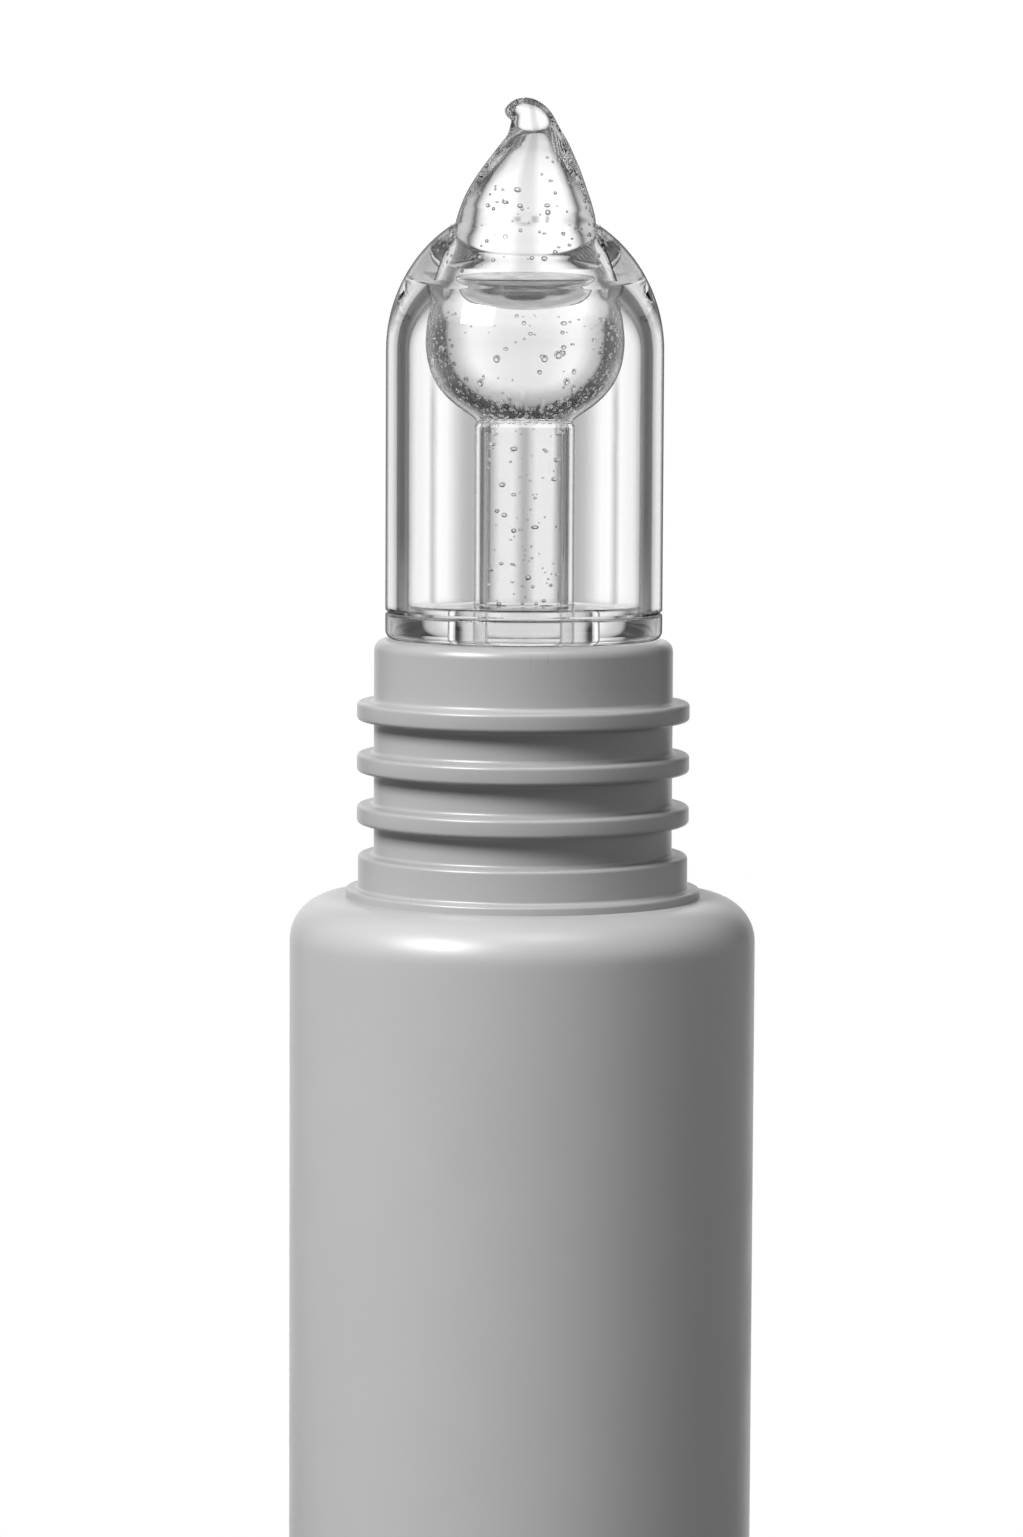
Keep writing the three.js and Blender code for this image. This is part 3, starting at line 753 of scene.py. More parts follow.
def sleeve_sections(sizes):
    """Sections of the whole sleeve: up its outside, over the mouth's edge and down its inside."""
    mouth = sizes.mouth_diameter / 2
    round_level = sizes.tail_height + sizes.taper_length
    arc_level = SHOULDER_LEVEL - sizes.shoulder_radius
    ceiling = SHOULDER_LEVEL - sizes.shoulder_wall
    inner_round = sizes.shoulder_radius - sizes.wall
    inner_centre = SLEEVE_RADIUS - sizes.wall - inner_round
    slit = search(0.0, 1.0, lambda part: (
        taper_half_thickness(sizes, part) > sizes.wall + sizes.seal_slit / 2))
    outside = [
        *tail_sections(sizes),
        *[taper_section(sizes, 1 - part, 0.0) for part in steps(TAPER_STEPS)],
        round_section(SLEEVE_RADIUS, round_level + SUPPORT_GAP),
        round_section(SLEEVE_RADIUS, arc_level - SUPPORT_GAP),
        *shoulder_sections(SLEEVE_RADIUS - sizes.shoulder_radius, arc_level, sizes.shoulder_radius,
                           SHOULDER_STEPS),
        round_section(SLEEVE_RADIUS - sizes.shoulder_radius - SUPPORT_GAP, SHOULDER_LEVEL),
        round_section(mouth, SHOULDER_LEVEL),
    ]
    inside = [
        round_section(mouth, ceiling),
        *reversed(shoulder_sections(inner_centre, ceiling - inner_round, inner_round, SHOULDER_STEPS // 2)),
        *[taper_section(sizes, slit * part, sizes.wall) for part in steps(INNER_TAPER_STEPS)],
    ]
    return outside + inside


def lofted_sections(sections, segments):
    """Skins sleeve sections from the first to the last."""
    return lofted(lambda ring, turn: section_point(sections[ring], turn), len(sections), segments)


class TUBE_OT_make_sleeve(bpy.types.Operator):
    """Makes the sleeve with its shoulder and its sealed tail"""

    bl_idname = "tube.make_sleeve"
    bl_label = "Make Sleeve"

    def execute(self, context):
        bm = lofted_sections(sleeve_sections(context.scene.tube_sleeve_sizes), SLEEVE_SEGMENTS)
        piece = finished_piece("sleeve_shell", bm, finish("satin sleeve"), "sleeve_plastic", "tube_sleeve")
        weigh_normals(piece)
        return {"FINISHED"}


# Neck

NECK_SEGMENTS = 160
NECK_ROUND_STEPS = 6


def ring_corners(sizes):
    """Corners of the ring beads from the lowest up."""
    wall = sizes.diameter / 2
    crest = wall + sizes.ring_standout
    corners = []
    for ring in reversed(range(sizes.ring_count)):
        middle = RIM_LEVEL - sizes.ring_drop - sizes.ring_pitch * ring
        bottom = middle - sizes.ring_height / 2
        top = middle + sizes.ring_height / 2
        corners += [
            (wall, bottom, sizes.ring_root),
            (crest, bottom, sizes.ring_round),
            (crest, top, sizes.ring_round),
            (wall, top, sizes.ring_root),
        ]
    return corners


class TUBE_OT_make_neck(bpy.types.Operator):
    """Makes the neck with its flange, collar, ring beads and snap skirt"""

    bl_idname = "tube.make_neck"
    bl_label = "Make Neck"

    def execute(self, context):
        sizes = context.scene.tube_neck_sizes
        sleeve = context.scene.tube_sleeve_sizes
        wall = sizes.diameter / 2
        bore = sizes.bore / 2
        collar = wall + sizes.collar_standout
        flange = collar + sizes.flange_standout
        mouth = sleeve.mouth_diameter / 2
        spigot = mouth - sizes.snap_gap
        snap = mouth + sizes.snap_standout
        snap_top = SHOULDER_LEVEL - sleeve.shoulder_wall - sizes.snap_gap
        flange_top = SHOULDER_LEVEL + sizes.flange_height
        collar_top = SHOULDER_LEVEL + sizes.collar_height
        bm = turned_corners([
            (bore, SKIRT_LEVEL, 0.0),
            (spigot, SKIRT_LEVEL, 0.0),
            (snap, snap_top - sizes.snap_height, 0.0),
            (snap, snap_top, 0.0),
            (spigot, snap_top, 0.0),
            (spigot, SHOULDER_LEVEL, 0.0),
            (flange, SHOULDER_LEVEL, 0.0),
            (flange, flange_top, sizes.flange_round),
            (collar, flange_top, sizes.flange_round),
            (collar, collar_top, sizes.collar_round),
            (wall, collar_top, sizes.collar_round),
            *ring_corners(sizes),
            (wall, RIM_LEVEL, sizes.rim_round),
            (bore, RIM_LEVEL, 0.0),
        ], NECK_SEGMENTS, NECK_ROUND_STEPS)
        piece = finished_piece("neck_moulding", bm, finish("satin neck"), "neck_plastic", "neck_fitment")
        weigh_normals(piece)
        return {"FINISHED"}


# Clear tip

TIP_SEGMENTS = 192
TIP_ROUND_STEPS = 6
DOME_STEPS = 40
BULB_STEPS = 48
THROAT_STEPS = 32
BULB_FULLNESS = 2.5

# How patchy the gel clings, and the shares of the crown's outer and inner curve at which a face lies on it
PATCHINESS = 1.5
SKIN_SHARE = 0.985
CEILING_SHARE = 1.005


def tip_radii(context):
    """Radii and levels that the clear pieces and the gel share."""
    tip = context.scene.tube_tip_sizes
    gap = context.scene.tube_gel_sizes.wall_gap
    throat = tip.throat_diameter / 2
    cavity = TIP_RADIUS - tip.dome_wall
    hole = tip.crown_hole / 2
    edge = throat + tip.lip_wall + tip.gap
    spring = DISC_LEVEL + tip.dome_straight
    ceiling = spring + ellipse_height(hole, cavity, tip.cavity_rise)
    plug = context.scene.tube_neck_sizes.bore / 2 - tip.plug_gap
    return {
        "throat": throat, "cavity": cavity, "hole": hole, "edge": edge, "spring": spring, "ceiling": ceiling,
        "slot": ceiling + tip.slot_ledge,
        "crown": spring + ellipse_height(edge, TIP_RADIUS, tip.dome_rise),
        "lip": spring + ellipse_height(throat, TIP_RADIUS, tip.dome_rise),
        "plug": plug, "plug_bore": plug - tip.plug_wall,
        "feed": tip.feed_diameter / 2, "feed_bore": tip.feed_diameter / 2 - tip.feed_wall,
        "bulb": DISC_LEVEL + tip.bulb_height, "bulb_outside": tip.bulb_diameter / 2,
        "bulb_inside": tip.bulb_diameter / 2 - tip.bulb_wall, "gel_gap": gap,
    }


def radius_along(path, level):
    """Radius of a path of (radius, level) points at a level."""
    for (low_radius, low), (high_radius, high) in zip(path, path[1:]):
        if low <= level <= high and high > low:
            return lerp(low_radius, high_radius, (level - low) / (high - low))
    return 0.0


def throat_radius(context, level, inset):
    """Inside radius of the bulb above its middle, where it draws in to the throat at its lip."""
    tip = context.scene.tube_tip_sizes
    radii = tip_radii(context)
    start = radii["bulb"] + tip.throat_rise
    part = max(0.0, (level - start) / (radii["lip"] - start))
    drawn_in = part ** 2 * (3 - tip.throat_ease - (2 - tip.throat_ease) * part)
    return lerp(radii["bulb_inside"], radii["throat"], drawn_in) - inset


def neck_radius(context, level, inset):
    """Outside radius of the bulb above its middle: its wall thins towards the lip."""
    tip = context.scene.tube_tip_sizes
    radii = tip_radii(context)
    part = (level - radii["bulb"]) / (radii["lip"] - radii["bulb"])
    return throat_radius(context, level, inset) + lerp(tip.bulb_wall, tip.lip_wall, part)


def flared_radius(context, depth, widest, drop, tube_radius):
    """Radius of the bulb below its middle, where it turns into the feed tube."""
    power = context.scene.tube_tip_sizes.flare_sharpness
    egg = widest * math.sqrt(max(0.0, 1 - (max(depth, 0.0) / drop) ** BULB_FULLNESS))
    tube = tube_radius * min(1.0, (max(depth, 0.0) / drop) ** 2)
    return (egg ** power + tube ** power) ** (1 / power)


def lower_bulb(context, start_level, tube_radius, inset):
    """Path up the feed tube and the lower half of the bulb."""
    tip = context.scene.tube_tip_sizes
    radii = tip_radii(context)
    widest = radii["bulb_outside"] - inset
    drop = tip.bulb_drop - inset
    path = [(tube_radius, start_level)]
    for part in steps(BULB_STEPS):
        depth = (tip.bulb_drop + tip.feed_wall) * (1 - part)
        path.append((flared_radius(context, depth, widest, drop, tube_radius), radii["bulb"] - depth))
    return path


def upright_path(context, radius_at, low, high, inset):
    """Path up a wall between two levels, from a function of its radius."""
    levels = [lerp(low, high, part) for part in steps(THROAT_STEPS)]
    return [(radius_at(context, level, inset), level) for level in levels]


def bulb_outside(context):
    """Path up the outside of the feed tube and the bulb to its lip."""
    radii = tip_radii(context)
    lower = lower_bulb(context, RIM_LEVEL, radii["feed"], 0.0)
    return lower + upright_path(context, neck_radius, radii["bulb"], radii["lip"], 0.0)[1:]


def bulb_inside(context, inset):
    """Path up the inside of the feed tube and the bulb to its lip."""
    tip = context.scene.tube_tip_sizes
    radii = tip_radii(context)
    lower = lower_bulb(context, FOOT_LEVEL, radii["feed_bore"] - inset, tip.bulb_wall + inset)
    return lower + upright_path(context, throat_radius, radii["bulb"], radii["lip"], inset)[1:]


def dome_outline(context):
    """Closed path of the hollow dome: up its outside, down the hole, and down its hollow."""
    tip = context.scene.tube_tip_sizes
    radii = tip_radii(context)
    edge_turn = math.acos(radii["edge"] / TIP_RADIUS)
    ceiling_turn = math.acos(radii["hole"] / radii["cavity"])
    outer = [
        (TIP_RADIUS * math.cos(edge_turn * part),
         radii["spring"] + tip.dome_rise * math.sin(edge_turn * part))
        for part in steps(DOME_STEPS)
    ]
    inner = [
        (radii["cavity"] * math.cos(ceiling_turn * part),
         radii["spring"] + tip.cavity_rise * math.sin(ceiling_turn * part))
        for part in steps(DOME_STEPS)
    ]
    hole = upright_path(context, neck_radius, radii["ceiling"], radii["crown"], -tip.gap)
    return [
        (radii["cavity"], DISC_LEVEL),
        (TIP_RADIUS - tip.edge_round, DISC_LEVEL),
        (TIP_RADIUS, DISC_LEVEL + tip.edge_round),
        *outer,
        *reversed(hole[1:-1]),
        *reversed(inner),
    ]


def slot_cutter(context):
    """A bar through the crown from front to back, as wide as the bulb's neck at each level."""
    tip = context.scene.tube_tip_sizes
    radii = tip_radii(context)
    side = upright_path(context, neck_radius, radii["slot"], radii["crown"], tip.gap)
    outline = [*side, (side[-1][0], radii["crown"] + TIP_RADIUS)]
    bm = bmesh.new()
    right = [bm.verts.new((radius, -TIP_RADIUS, level)) for radius, level in outline]
    left = [bm.verts.new((-radius, -TIP_RADIUS, level)) for radius, level in reversed(outline)]
    face = bm.faces.new([*right, *left])
    made = bmesh.ops.extrude_face_region(bm, geom=[face])["geom"]
    verts = [item for item in made if isinstance(item, bmesh.types.BMVert)]
    bmesh.ops.translate(bm, verts=verts, vec=(0.0, 2 * TIP_RADIUS, 0.0))
    bmesh.ops.recalc_face_normals(bm, faces=list(bm.faces))
    return bm


def carved(bm, cutter):
    """The shape in bm without the shape in cutter."""
    objects = []
    for shape in (bm, cutter):
        mesh = bpy.data.meshes.new("shape")
        shape.to_mesh(mesh)
        shape.free()
        objects.append(bpy.data.objects.new("shape", mesh))
        bpy.context.scene.collection.objects.link(objects[-1])
    modifier = objects[0].modifiers.new("Cut", "BOOLEAN")
    modifier.operation = "DIFFERENCE"
    modifier.solver = "EXACT"
    modifier.object = objects[1]
    made = bmesh.new()
    made.from_object(objects[0], bpy.context.evaluated_depsgraph_get())
    for item in objects:
        mesh = item.data
        bpy.data.objects.remove(item)
        bpy.data.meshes.remove(mesh)
    return made


def held(value):
    """The value, held between 0 and 1."""
    return min(1.0, max(0.0, value))


def clinging(context, spot):
    """How well the gel clings to the bulb's wall: unevenly just above the feed tube, then all round."""
    tip = context.scene.tube_tip_sizes
    radii = tip_radii(context)
    outward = Vector((spot.x, spot.y, 0.0)).normalized() * radii["bulb_inside"]
    uneven = noise.noise(Vector((outward.x, outward.y, spot.z)) / tip.patch_size)
    return held((spot.z - radii["bulb"] + tip.bulb_drop) / tip.flare_fade + PATCHINESS * uneven)


def lip_blend(context, spot):
    """Rises from 0 to 1 over the last stretch below the bulb's lip."""
    return held(1 - (tip_radii(context)["lip"] - spot.z) / context.scene.tube_tip_sizes.lip_fade)


def bulb_lining(context, bm):
    """Marks the inside of the bulb, where the gel lines it, and its lip, which the gel covers."""
    tip = context.scene.tube_tip_sizes
    outside = bulb_outside(context)

    def amount(spot):
        if spot.xy.length < radius_along(outside, spot.z) - tip.lip_wall / 2:
            return clinging(context, spot)
        return lip_blend(context, spot)

    mark_wetted(bm, amount)


def slot_smear(context, bm):
    """Marks the slot and the crown's hole, and the crown's skin below the slot, where gel smears them."""
    tip = context.scene.tube_tip_sizes
    radii = tip_radii(context)
    layer = bm.loops.layers.float.new(WETTED)
    for face in bm.faces:
        middle = face.calc_center_median()
        if middle.z < radii["spring"]:
            continue
        away, rise = middle.xy.length, middle.z - radii["spring"]
        on_skin = math.hypot(away / TIP_RADIUS, rise / tip.dome_rise) > SKIN_SHARE
        on_ceiling = math.hypot(away / radii["cavity"], rise / tip.cavity_rise) < CEILING_SHARE
        for corner in face.loops:
            spot = corner.vert.co
            amount = held(1 - (radii["slot"] - spot.z) / tip.slot_fade)
            if on_skin or on_ceiling:
                half_width = neck_radius(context, max(spot.z, radii["slot"]), tip.gap)
                amount *= held((half_width - abs(spot.x)) / tip.smear_fade)
            corner[layer] = amount


class TUBE_OT_make_tip(bpy.types.Operator):
    """Makes the clear applicator tip: base plug, feed tube with its bulb, and hollow dome"""

    bl_idname = "tube.make_tip"
    bl_label = "Make Clear Tip"

    def execute(self, context):
        tip = context.scene.tube_tip_sizes
        radii = tip_radii(context)
        hole = radii["feed"] + tip.gap
        step = radii["cavity"] - tip.gap
        base = turned_corners([
            (hole, RIM_LEVEL, 0.0),
            (radii["plug_bore"], RIM_LEVEL, 0.0),
            (radii["plug_bore"], PLUG_LEVEL, 0.0),
            (radii["plug"], PLUG_LEVEL, tip.plug_chamfer),
            (radii["plug"], RIM_LEVEL, 0.0),
            (TIP_RADIUS, RIM_LEVEL, tip.disc_round),
            (TIP_RADIUS, DISC_LEVEL, tip.edge_round),
            (step, DISC_LEVEL, 0.0),
            (step, STEP_LEVEL, tip.edge_round),
            (hole, STEP_LEVEL, 0.0),
        ], TIP_SEGMENTS, TIP_ROUND_STEPS)
        foot = tip.foot_diameter / 2
        feed = turned_path([
            (foot, FOOT_LEVEL),
            (foot, RIM_LEVEL),
            *bulb_outside(context),
            *reversed(bulb_inside(context, 0.0)),
        ], TIP_SEGMENTS)
        dome = carved(turned_path(dome_outline(context), TIP_SEGMENTS), slot_cutter(context))
        bulb_lining(context, feed)
        slot_smear(context, dome)
        for name, bm, node in (
            ("clear_base", base, "tip_base"),
            ("clear_feed_bulb", feed, "feed_bulb"),
            ("clear_dome", dome, "tip_dome"),
        ):
            piece = finished_piece(name, bm, finish("clear plastic"), "clear_plastic", node)
            piece.visible_shadow = False
            weigh_normals(piece)
        return {"FINISHED"}


# Gel

GEL_SEGMENTS = 128
PEAK_RING_STEPS = 10
FILL_SEGMENTS = 96
FILL_STEPS = 20
BUBBLE_SEGMENTS = 10
BUBBLE_RINGS = 6
BUBBLE_SEED = 7

# Powers of a draw: bubbles spread through the gel or held at its skin, and most of them small
FREE, AT_SKIN = 0.5, 0.02
SMALL_BIAS = 2.5

# Room round a bubble, as a share of its radius, at the skin and between bubbles
SKIN_GAP = 1.6
BUBBLE_GAP = 1.3

# Froth at the skin lies between these, where 0 is at the sides and 1 is straight ahead
FROTH_SIDE, FROTH_AHEAD = 0.12, 0.62

# The air pocket: steps up its outline, margin round its skin, how uneven its froth and painted shade are,
# and how many times its sag and its rise bubbles keep away from its edge
POCKET_STEPS = 16
POCKET_MARGIN = 1.02
POCKET_UNEVENNESS = 0.5
BELOW_POCKET = 1.2
ABOVE_POCKET = 2

# Stations up the gel peak: sideways offset and half width as shares of the base radius, height as a
# share of the peak's height, and tilt in degrees. The peak leans to one side, then its tip folds back.
PEAK_STATIONS = (
    (0.0, 0.0, 1.0, 0.0),
    (0.007, 0.065, 0.977, 0.0),
    (0.014, 0.160, 0.926, 0.0),
    (0.023, 0.254, 0.860, 0.0),
    (0.044, 0.349, 0.781, 0.0),
    (0.070, 0.443, 0.693, 0.0),
    (0.097, 0.538, 0.592, 0.0),
    (0.118, 0.633, 0.490, 1.0),
    (0.119, 0.711, 0.396, 4.0),
    (0.099, 0.765, 0.349, 9.0),
    (0.074, 0.822, 0.311, 15.0),
    (0.032, 0.867, 0.272, 24.0),
    (-0.026, 0.896, 0.235, 36.0),
    (-0.090, 0.911, 0.203, 49.0),
    (-0.158, 0.914, 0.166, 61.0),
    (-0.220, 0.911, 0.126, 69.0),
    (-0.268, 0.906, 0.079, 74.0),
    (-0.295, 0.902, 0.036, 76.0),
    (-0.308, 0.900, 0.0, 76.0),
)


def smooth_row(rows, place):
    """The row at a place along a list of rows, on a smooth curve through them."""
    index = min(int(place), len(rows) - 2)
    part = place - index
    here, there = rows[index], rows[index + 1]
    before = rows[index - 1] if index > 0 else [2 * p1 - p2 for p1, p2 in zip(here, there)]
    after = rows[min(index + 2, len(rows) - 1)]
    made = []
    for p0, p1, p2, p3 in zip(before, here, there, after):
        bend = (2 * p0 - 5 * p1 + 4 * p2 - p3) * part ** 2 + (3 * p1 - p0 - 3 * p2 + p3) * part ** 3
        made.append(p1 + ((p2 - p0) * part + bend) / 2)
    return made


def gel_rings(context):
    """Rings (sideways offset, level, radius, tilt) up the gel: feed tube, bulb, crown and peak."""
    gel = context.scene.tube_gel_sizes
    radii = tip_radii(context)
    inside = bulb_inside(context, radii["gel_gap"])
    rings = [(0.0, level, radius, 0.0) for radius, level in inside]
    base = inside[-1][0]
    total = (len(PEAK_STATIONS) - 1) * PEAK_RING_STEPS
    for step in range(1, total + 1):
        aside, height, width, tilt = smooth_row(PEAK_STATIONS, step / PEAK_RING_STEPS)
        rings.append((aside * base, radii["lip"] + height * gel.peak_height, max(width, 0.0) * base, tilt))
    return rings


def gel_point(context, ring, turn):
    """A point on the gel's skin."""
    gel = context.scene.tube_gel_sizes
    lip = tip_radii(context)["lip"]
    aside, level, radius, tilt = ring
    across = radius * math.sin(turn)
    forward = radius * math.cos(turn)
    level += across * math.sin(math.radians(tilt))
    lean = gel.peak_lean * max(0.0, (level - lip) / gel.peak_height) ** gel.lean_power
    return Vector((aside + across * math.cos(math.radians(tilt)), -forward - lean, level))


def add_void(bm, mesh):
    """Adds a closed mesh to a gel mesh as a void, with its faces turned to the air inside."""
    shape = bmesh.new()
    shape.from_mesh(mesh)
    bmesh.ops.reverse_faces(shape, faces=list(shape.faces))
    shape.to_mesh(mesh)
    shape.free()
    bm.from_mesh(mesh)
    bpy.data.meshes.remove(mesh)


def add_bubbles(bm, bubbles):
    """Adds round voids to a gel mesh."""
    shape = bmesh.new()
    bmesh.ops.create_uvsphere(shape, u_segments=BUBBLE_SEGMENTS, v_segments=BUBBLE_RINGS, radius=1.0)
    sphere = bpy.data.meshes.new("bubble")
    shape.to_mesh(sphere)
    shape.free()
    for centre, radius in bubbles:
        bubble = sphere.copy()
        bubble.transform(Matrix.Translation(centre) @ Matrix.Scale(radius, 4))
        add_void(bm, bubble)
    bpy.data.meshes.remove(sphere)


def quarter_turns(start, end):
    """Angles between two shares of a quarter turn."""
    return [math.pi / 2 * lerp(start, end, part) for part in steps(POCKET_STEPS)]


def add_pocket(bm, context):
    """Adds the flat pocket of air that the gel has closed over between the bulb and the crown."""
    gel = context.scene.tube_gel_sizes
    level = tip_radii(context)["slot"] + gel.pocket_level
    bowl = [(math.cos(turn), -gel.pocket_sag * math.sin(turn)) for turn in quarter_turns(1, 0)]
    cover = [(math.cos(turn), gel.pocket_rise * math.sin(turn)) for turn in quarter_turns(0, 1)[1:]]
    path = [(gel.pocket_diameter / 2 * reach, level + height) for reach, height in [*bowl, *cover]]
    path[0] = (0.0, path[0][1])
    path[-1] = (0.0, path[-1][1])
    shape = turned_path(path, GEL_SEGMENTS)
    mesh = bpy.data.meshes.new("pocket")
    shape.to_mesh(mesh)
    shape.free()
    add_void(bm, mesh)
    # The pocket's skin gets patches of froth, drawn as dark painted shade in the gel's material
    layer = bm.verts.layers.float.new(FROTH_AND_SHADE)
    for vert in bm.verts:
        inside = vert.co.xy.length < POCKET_MARGIN * gel.pocket_diameter / 2
        height = vert.co.z - level
        if inside and -POCKET_MARGIN * gel.pocket_sag < height < POCKET_MARGIN * gel.pocket_rise:
            uneven = noise.noise(vert.co / gel.froth_and_shade_patch)
            vert[layer] = gel.pocket_froth_and_shade * (1 + POCKET_UNEVENNESS * uneven)


def ring_at(rings, level):
    """The ring of an upright stretch of the gel at a level."""
    for low, high in zip(rings, rings[1:]):
        if low[1] <= level <= high[1] and low[1] < high[1]:
            part = (level - low[1]) / (high[1] - low[1])
            return [lerp(start, end, part) for start, end in zip(low, high)]
    raise ValueError(f"the gel has no ring at {level}")


def clear_of(bubbles, centre, radius):
    """Whether a new bubble leaves room round the others."""
    return all((centre - other).length > BUBBLE_GAP * (radius + size) for other, size in bubbles)


def scatter(bubbles, draws, total, sizes, rings, levels, crowding, place):
    """Adds bubbles between two levels of the gel that keep clear of its skin and of each other.

    Those at the skin gather where it turns away to the sides and below.
    """
    middle = Vector((0.0, 0.0, max(rings, key=lambda ring: ring[2])[1]))
    widest = max(ring[2] for ring in rings if levels[0] <= ring[1] <= levels[1])
    wanted = len(bubbles) + total
    while len(bubbles) < wanted:
        aside, level, reach, tilt = ring_at(rings, draws.uniform(*levels))
        radius = lerp(*sizes, draws.random() ** SMALL_BIAS)
        away = (reach - SKIN_GAP * radius) * draws.random() ** crowding
        centre = place((aside, level, away, tilt), draws.uniform(0.0, 2 * math.pi))
        turned = -(centre - middle).normalized().y
        if crowding == AT_SKIN and not FROTH_SIDE < turned < FROTH_AHEAD:
            continue
        if draws.random() < reach / widest and clear_of(bubbles, centre, radius):
            bubbles.append((centre, radius))


class TUBE_OT_make_gel(bpy.types.Operator):
    """Makes the gel: the charge in the sleeve, the column in the feed, and the curled peak"""

    bl_idname = "tube.make_gel"
    bl_label = "Make Gel"

    def execute(self, context):
        gel = context.scene.tube_gel_sizes
        draws = random.Random(BUBBLE_SEED)
        charge = finished_piece("gel_charge", self.charge(context, gel), finish("clear gel"), "clear_gel",
                                "gel_fill")
        drop = finished_piece("gel_drop", self.drop(context, gel, draws), finish("clear gel"), "clear_gel",
                              "gel_column", "gel_peak")
        for piece in (charge, drop):
            piece.visible_shadow = False
        return {"FINISHED"}

    def charge(self, context, gel):
        """The gel in the sleeve and the neck."""
        sleeve = context.scene.tube_sleeve_sizes
        radii = tip_radii(context)
        bore = context.scene.tube_neck_sizes.bore / 2 - gel.fill_gap
        throat = radii["plug_bore"] - gel.fill_gap
        inset = sleeve.wall + gel.fill_gap
        top = SKIRT_LEVEL - gel.fill_gap
        chamfer = sleeve.shoulder_radius - sleeve.wall
        full = 1 - (FILL_LEVEL - sleeve.tail_height) / sleeve.taper_length
        sections = [
            *[taper_section(sleeve, full * (1 - part), inset) for part in steps(FILL_STEPS)],
            round_section(SLEEVE_RADIUS - inset, top - chamfer),
            round_section(SLEEVE_RADIUS - inset - chamfer, top),
            round_section(bore, top),
            round_section(bore, PLUG_LEVEL - gel.fill_gap),
            round_section(throat, PLUG_LEVEL - gel.fill_gap),
            round_section(throat, FOOT_LEVEL),
        ]
        return lofted_sections(sections, FILL_SEGMENTS)

    def drop(self, context, gel, draws):
        """The gel in the feed tube, the bulb and the crown's hole, and its peak, with their bubbles."""
        rings = gel_rings(context)
        bm = lofted(lambda ring, turn: gel_point(context, rings[ring], turn), len(rings), GEL_SEGMENTS)
        radii = tip_radii(context)
        bottom = radii["bulb"] - context.scene.tube_tip_sizes.bulb_drop
        mark_wetted(bm, lambda spot: clinging(context, spot) * (1 - lip_blend(context, spot)))
        upright = [ring for ring in rings if ring[3] == 0.0]
        pocket = radii["slot"] + gel.pocket_level
        add_pocket(bm, context)
        bulb = (bottom, pocket - BELOW_POCKET * gel.pocket_sag)
        peak = (pocket + ABOVE_POCKET * gel.pocket_rise, upright[-1][1])
        bubbles = []
        free = (gel.bubble_least, gel.bubble_most)
        froth = (gel.froth_least, gel.froth_most)
        for total, levels, sizes, crowding in (
            (gel.feed_bubbles, (DISC_LEVEL, bottom), free, FREE),
            (gel.bulb_bubbles, bulb, free, FREE),
            (gel.peak_bubbles, peak, free, FREE),
            (gel.bulb_froth, bulb, froth, AT_SKIN),
            (gel.peak_froth, peak, froth, AT_SKIN),
        ):
            scatter(bubbles, draws, total, sizes, upright, levels, crowding,
                    lambda ring, turn: gel_point(context, ring, turn))
        add_bubbles(bm, bubbles)
        return bm


# Stage

# The satin pieces and the floor have their own lamps, and so have the clear pieces
SATIN_OBJECTS = ("sleeve_shell", "neck_moulding", "floor")
CLEAR_OBJECTS = ("clear_base", "clear_feed_bulb", "clear_dome", "gel_drop", "gel_charge")
FLOOR_REACH = 6.0
FLOOR_DROP = 0.05 * MM
WALL_STEPS = 24
SCREEN_STEPS = 24
SCREEN_SIDES = 72
CLIP_START = 10 * MM
CLEAR_BOUNCES = 32
MIRROR_BOUNCES = 16
WHITE = grey_colour(1.0)


def polar(distance, azimuth, elevation):
    """A point round the tube: azimuth 0 is in front of it, and it grows towards the left."""
    flat = distance * math.cos(elevation)
    return Vector((-flat * math.sin(azimuth), -flat * math.cos(azimuth), distance * math.sin(elevation)))


def shown_background(tree):
    """A mask of the rays that see the background: straight, mirrored or through something clear."""
    rays = add_node(tree, "ShaderNodeLightPath").outputs
    seen = math_node(tree, "MAXIMUM", rays["Is Camera Ray"], rays["Is Glossy Ray"])
    return math_node(tree, "MAXIMUM", seen, rays["Is Transmission Ray"])


def make_world(stage):
    """White surroundings as they are seen, which give only a little light."""
    world = bpy.data.worlds.new("studio")
    world.use_nodes = True
    tree = world.node_tree
    tree.nodes.clear()
    ambient = add_node(tree, "ShaderNodeBackground", {"Color": WHITE, "Strength": stage.ambient})
    white = add_node(tree, "ShaderNodeBackground", {"Color": WHITE, "Strength": 1.0})
    mix = add_node(tree, "ShaderNodeMixShader", {
        0: shown_background(tree), 1: ambient.outputs["Background"], 2: white.outputs["Background"],
    })
    add_node(tree, "ShaderNodeOutputWorld", {"Surface": mix.outputs["Shader"]})
    bpy.context.scene.world = world


def floor_material(stage):
    """Pale floor that fades to the white background away from the tube."""
    material, tree = new_material("pale floor")
    position = object_position(tree)
    away = add_node(tree, "ShaderNodeVectorMath", {0: position}, operation="LENGTH").outputs["Value"]
    far = ranged(tree, away, stage.floor_near, stage.floor_far, 0.0, 1.0)
    plain = add_node(tree, "ShaderNodeBsdfDiffuse", {"Color": (*stage.floor, 1.0)})
    white = add_node(tree, "ShaderNodeEmission", {"Color": WHITE, "Strength": 1.0})
    mix = add_node(tree, "ShaderNodeMixShader", {
        0: math_node(tree, "MULTIPLY", far, shown_background(tree)),
        1: plain.outputs["BSDF"], 2: white.outputs["Emission"],
    })
    add_node(tree, "ShaderNodeOutputMaterial", {"Surface": mix.outputs["Shader"]})
    return material


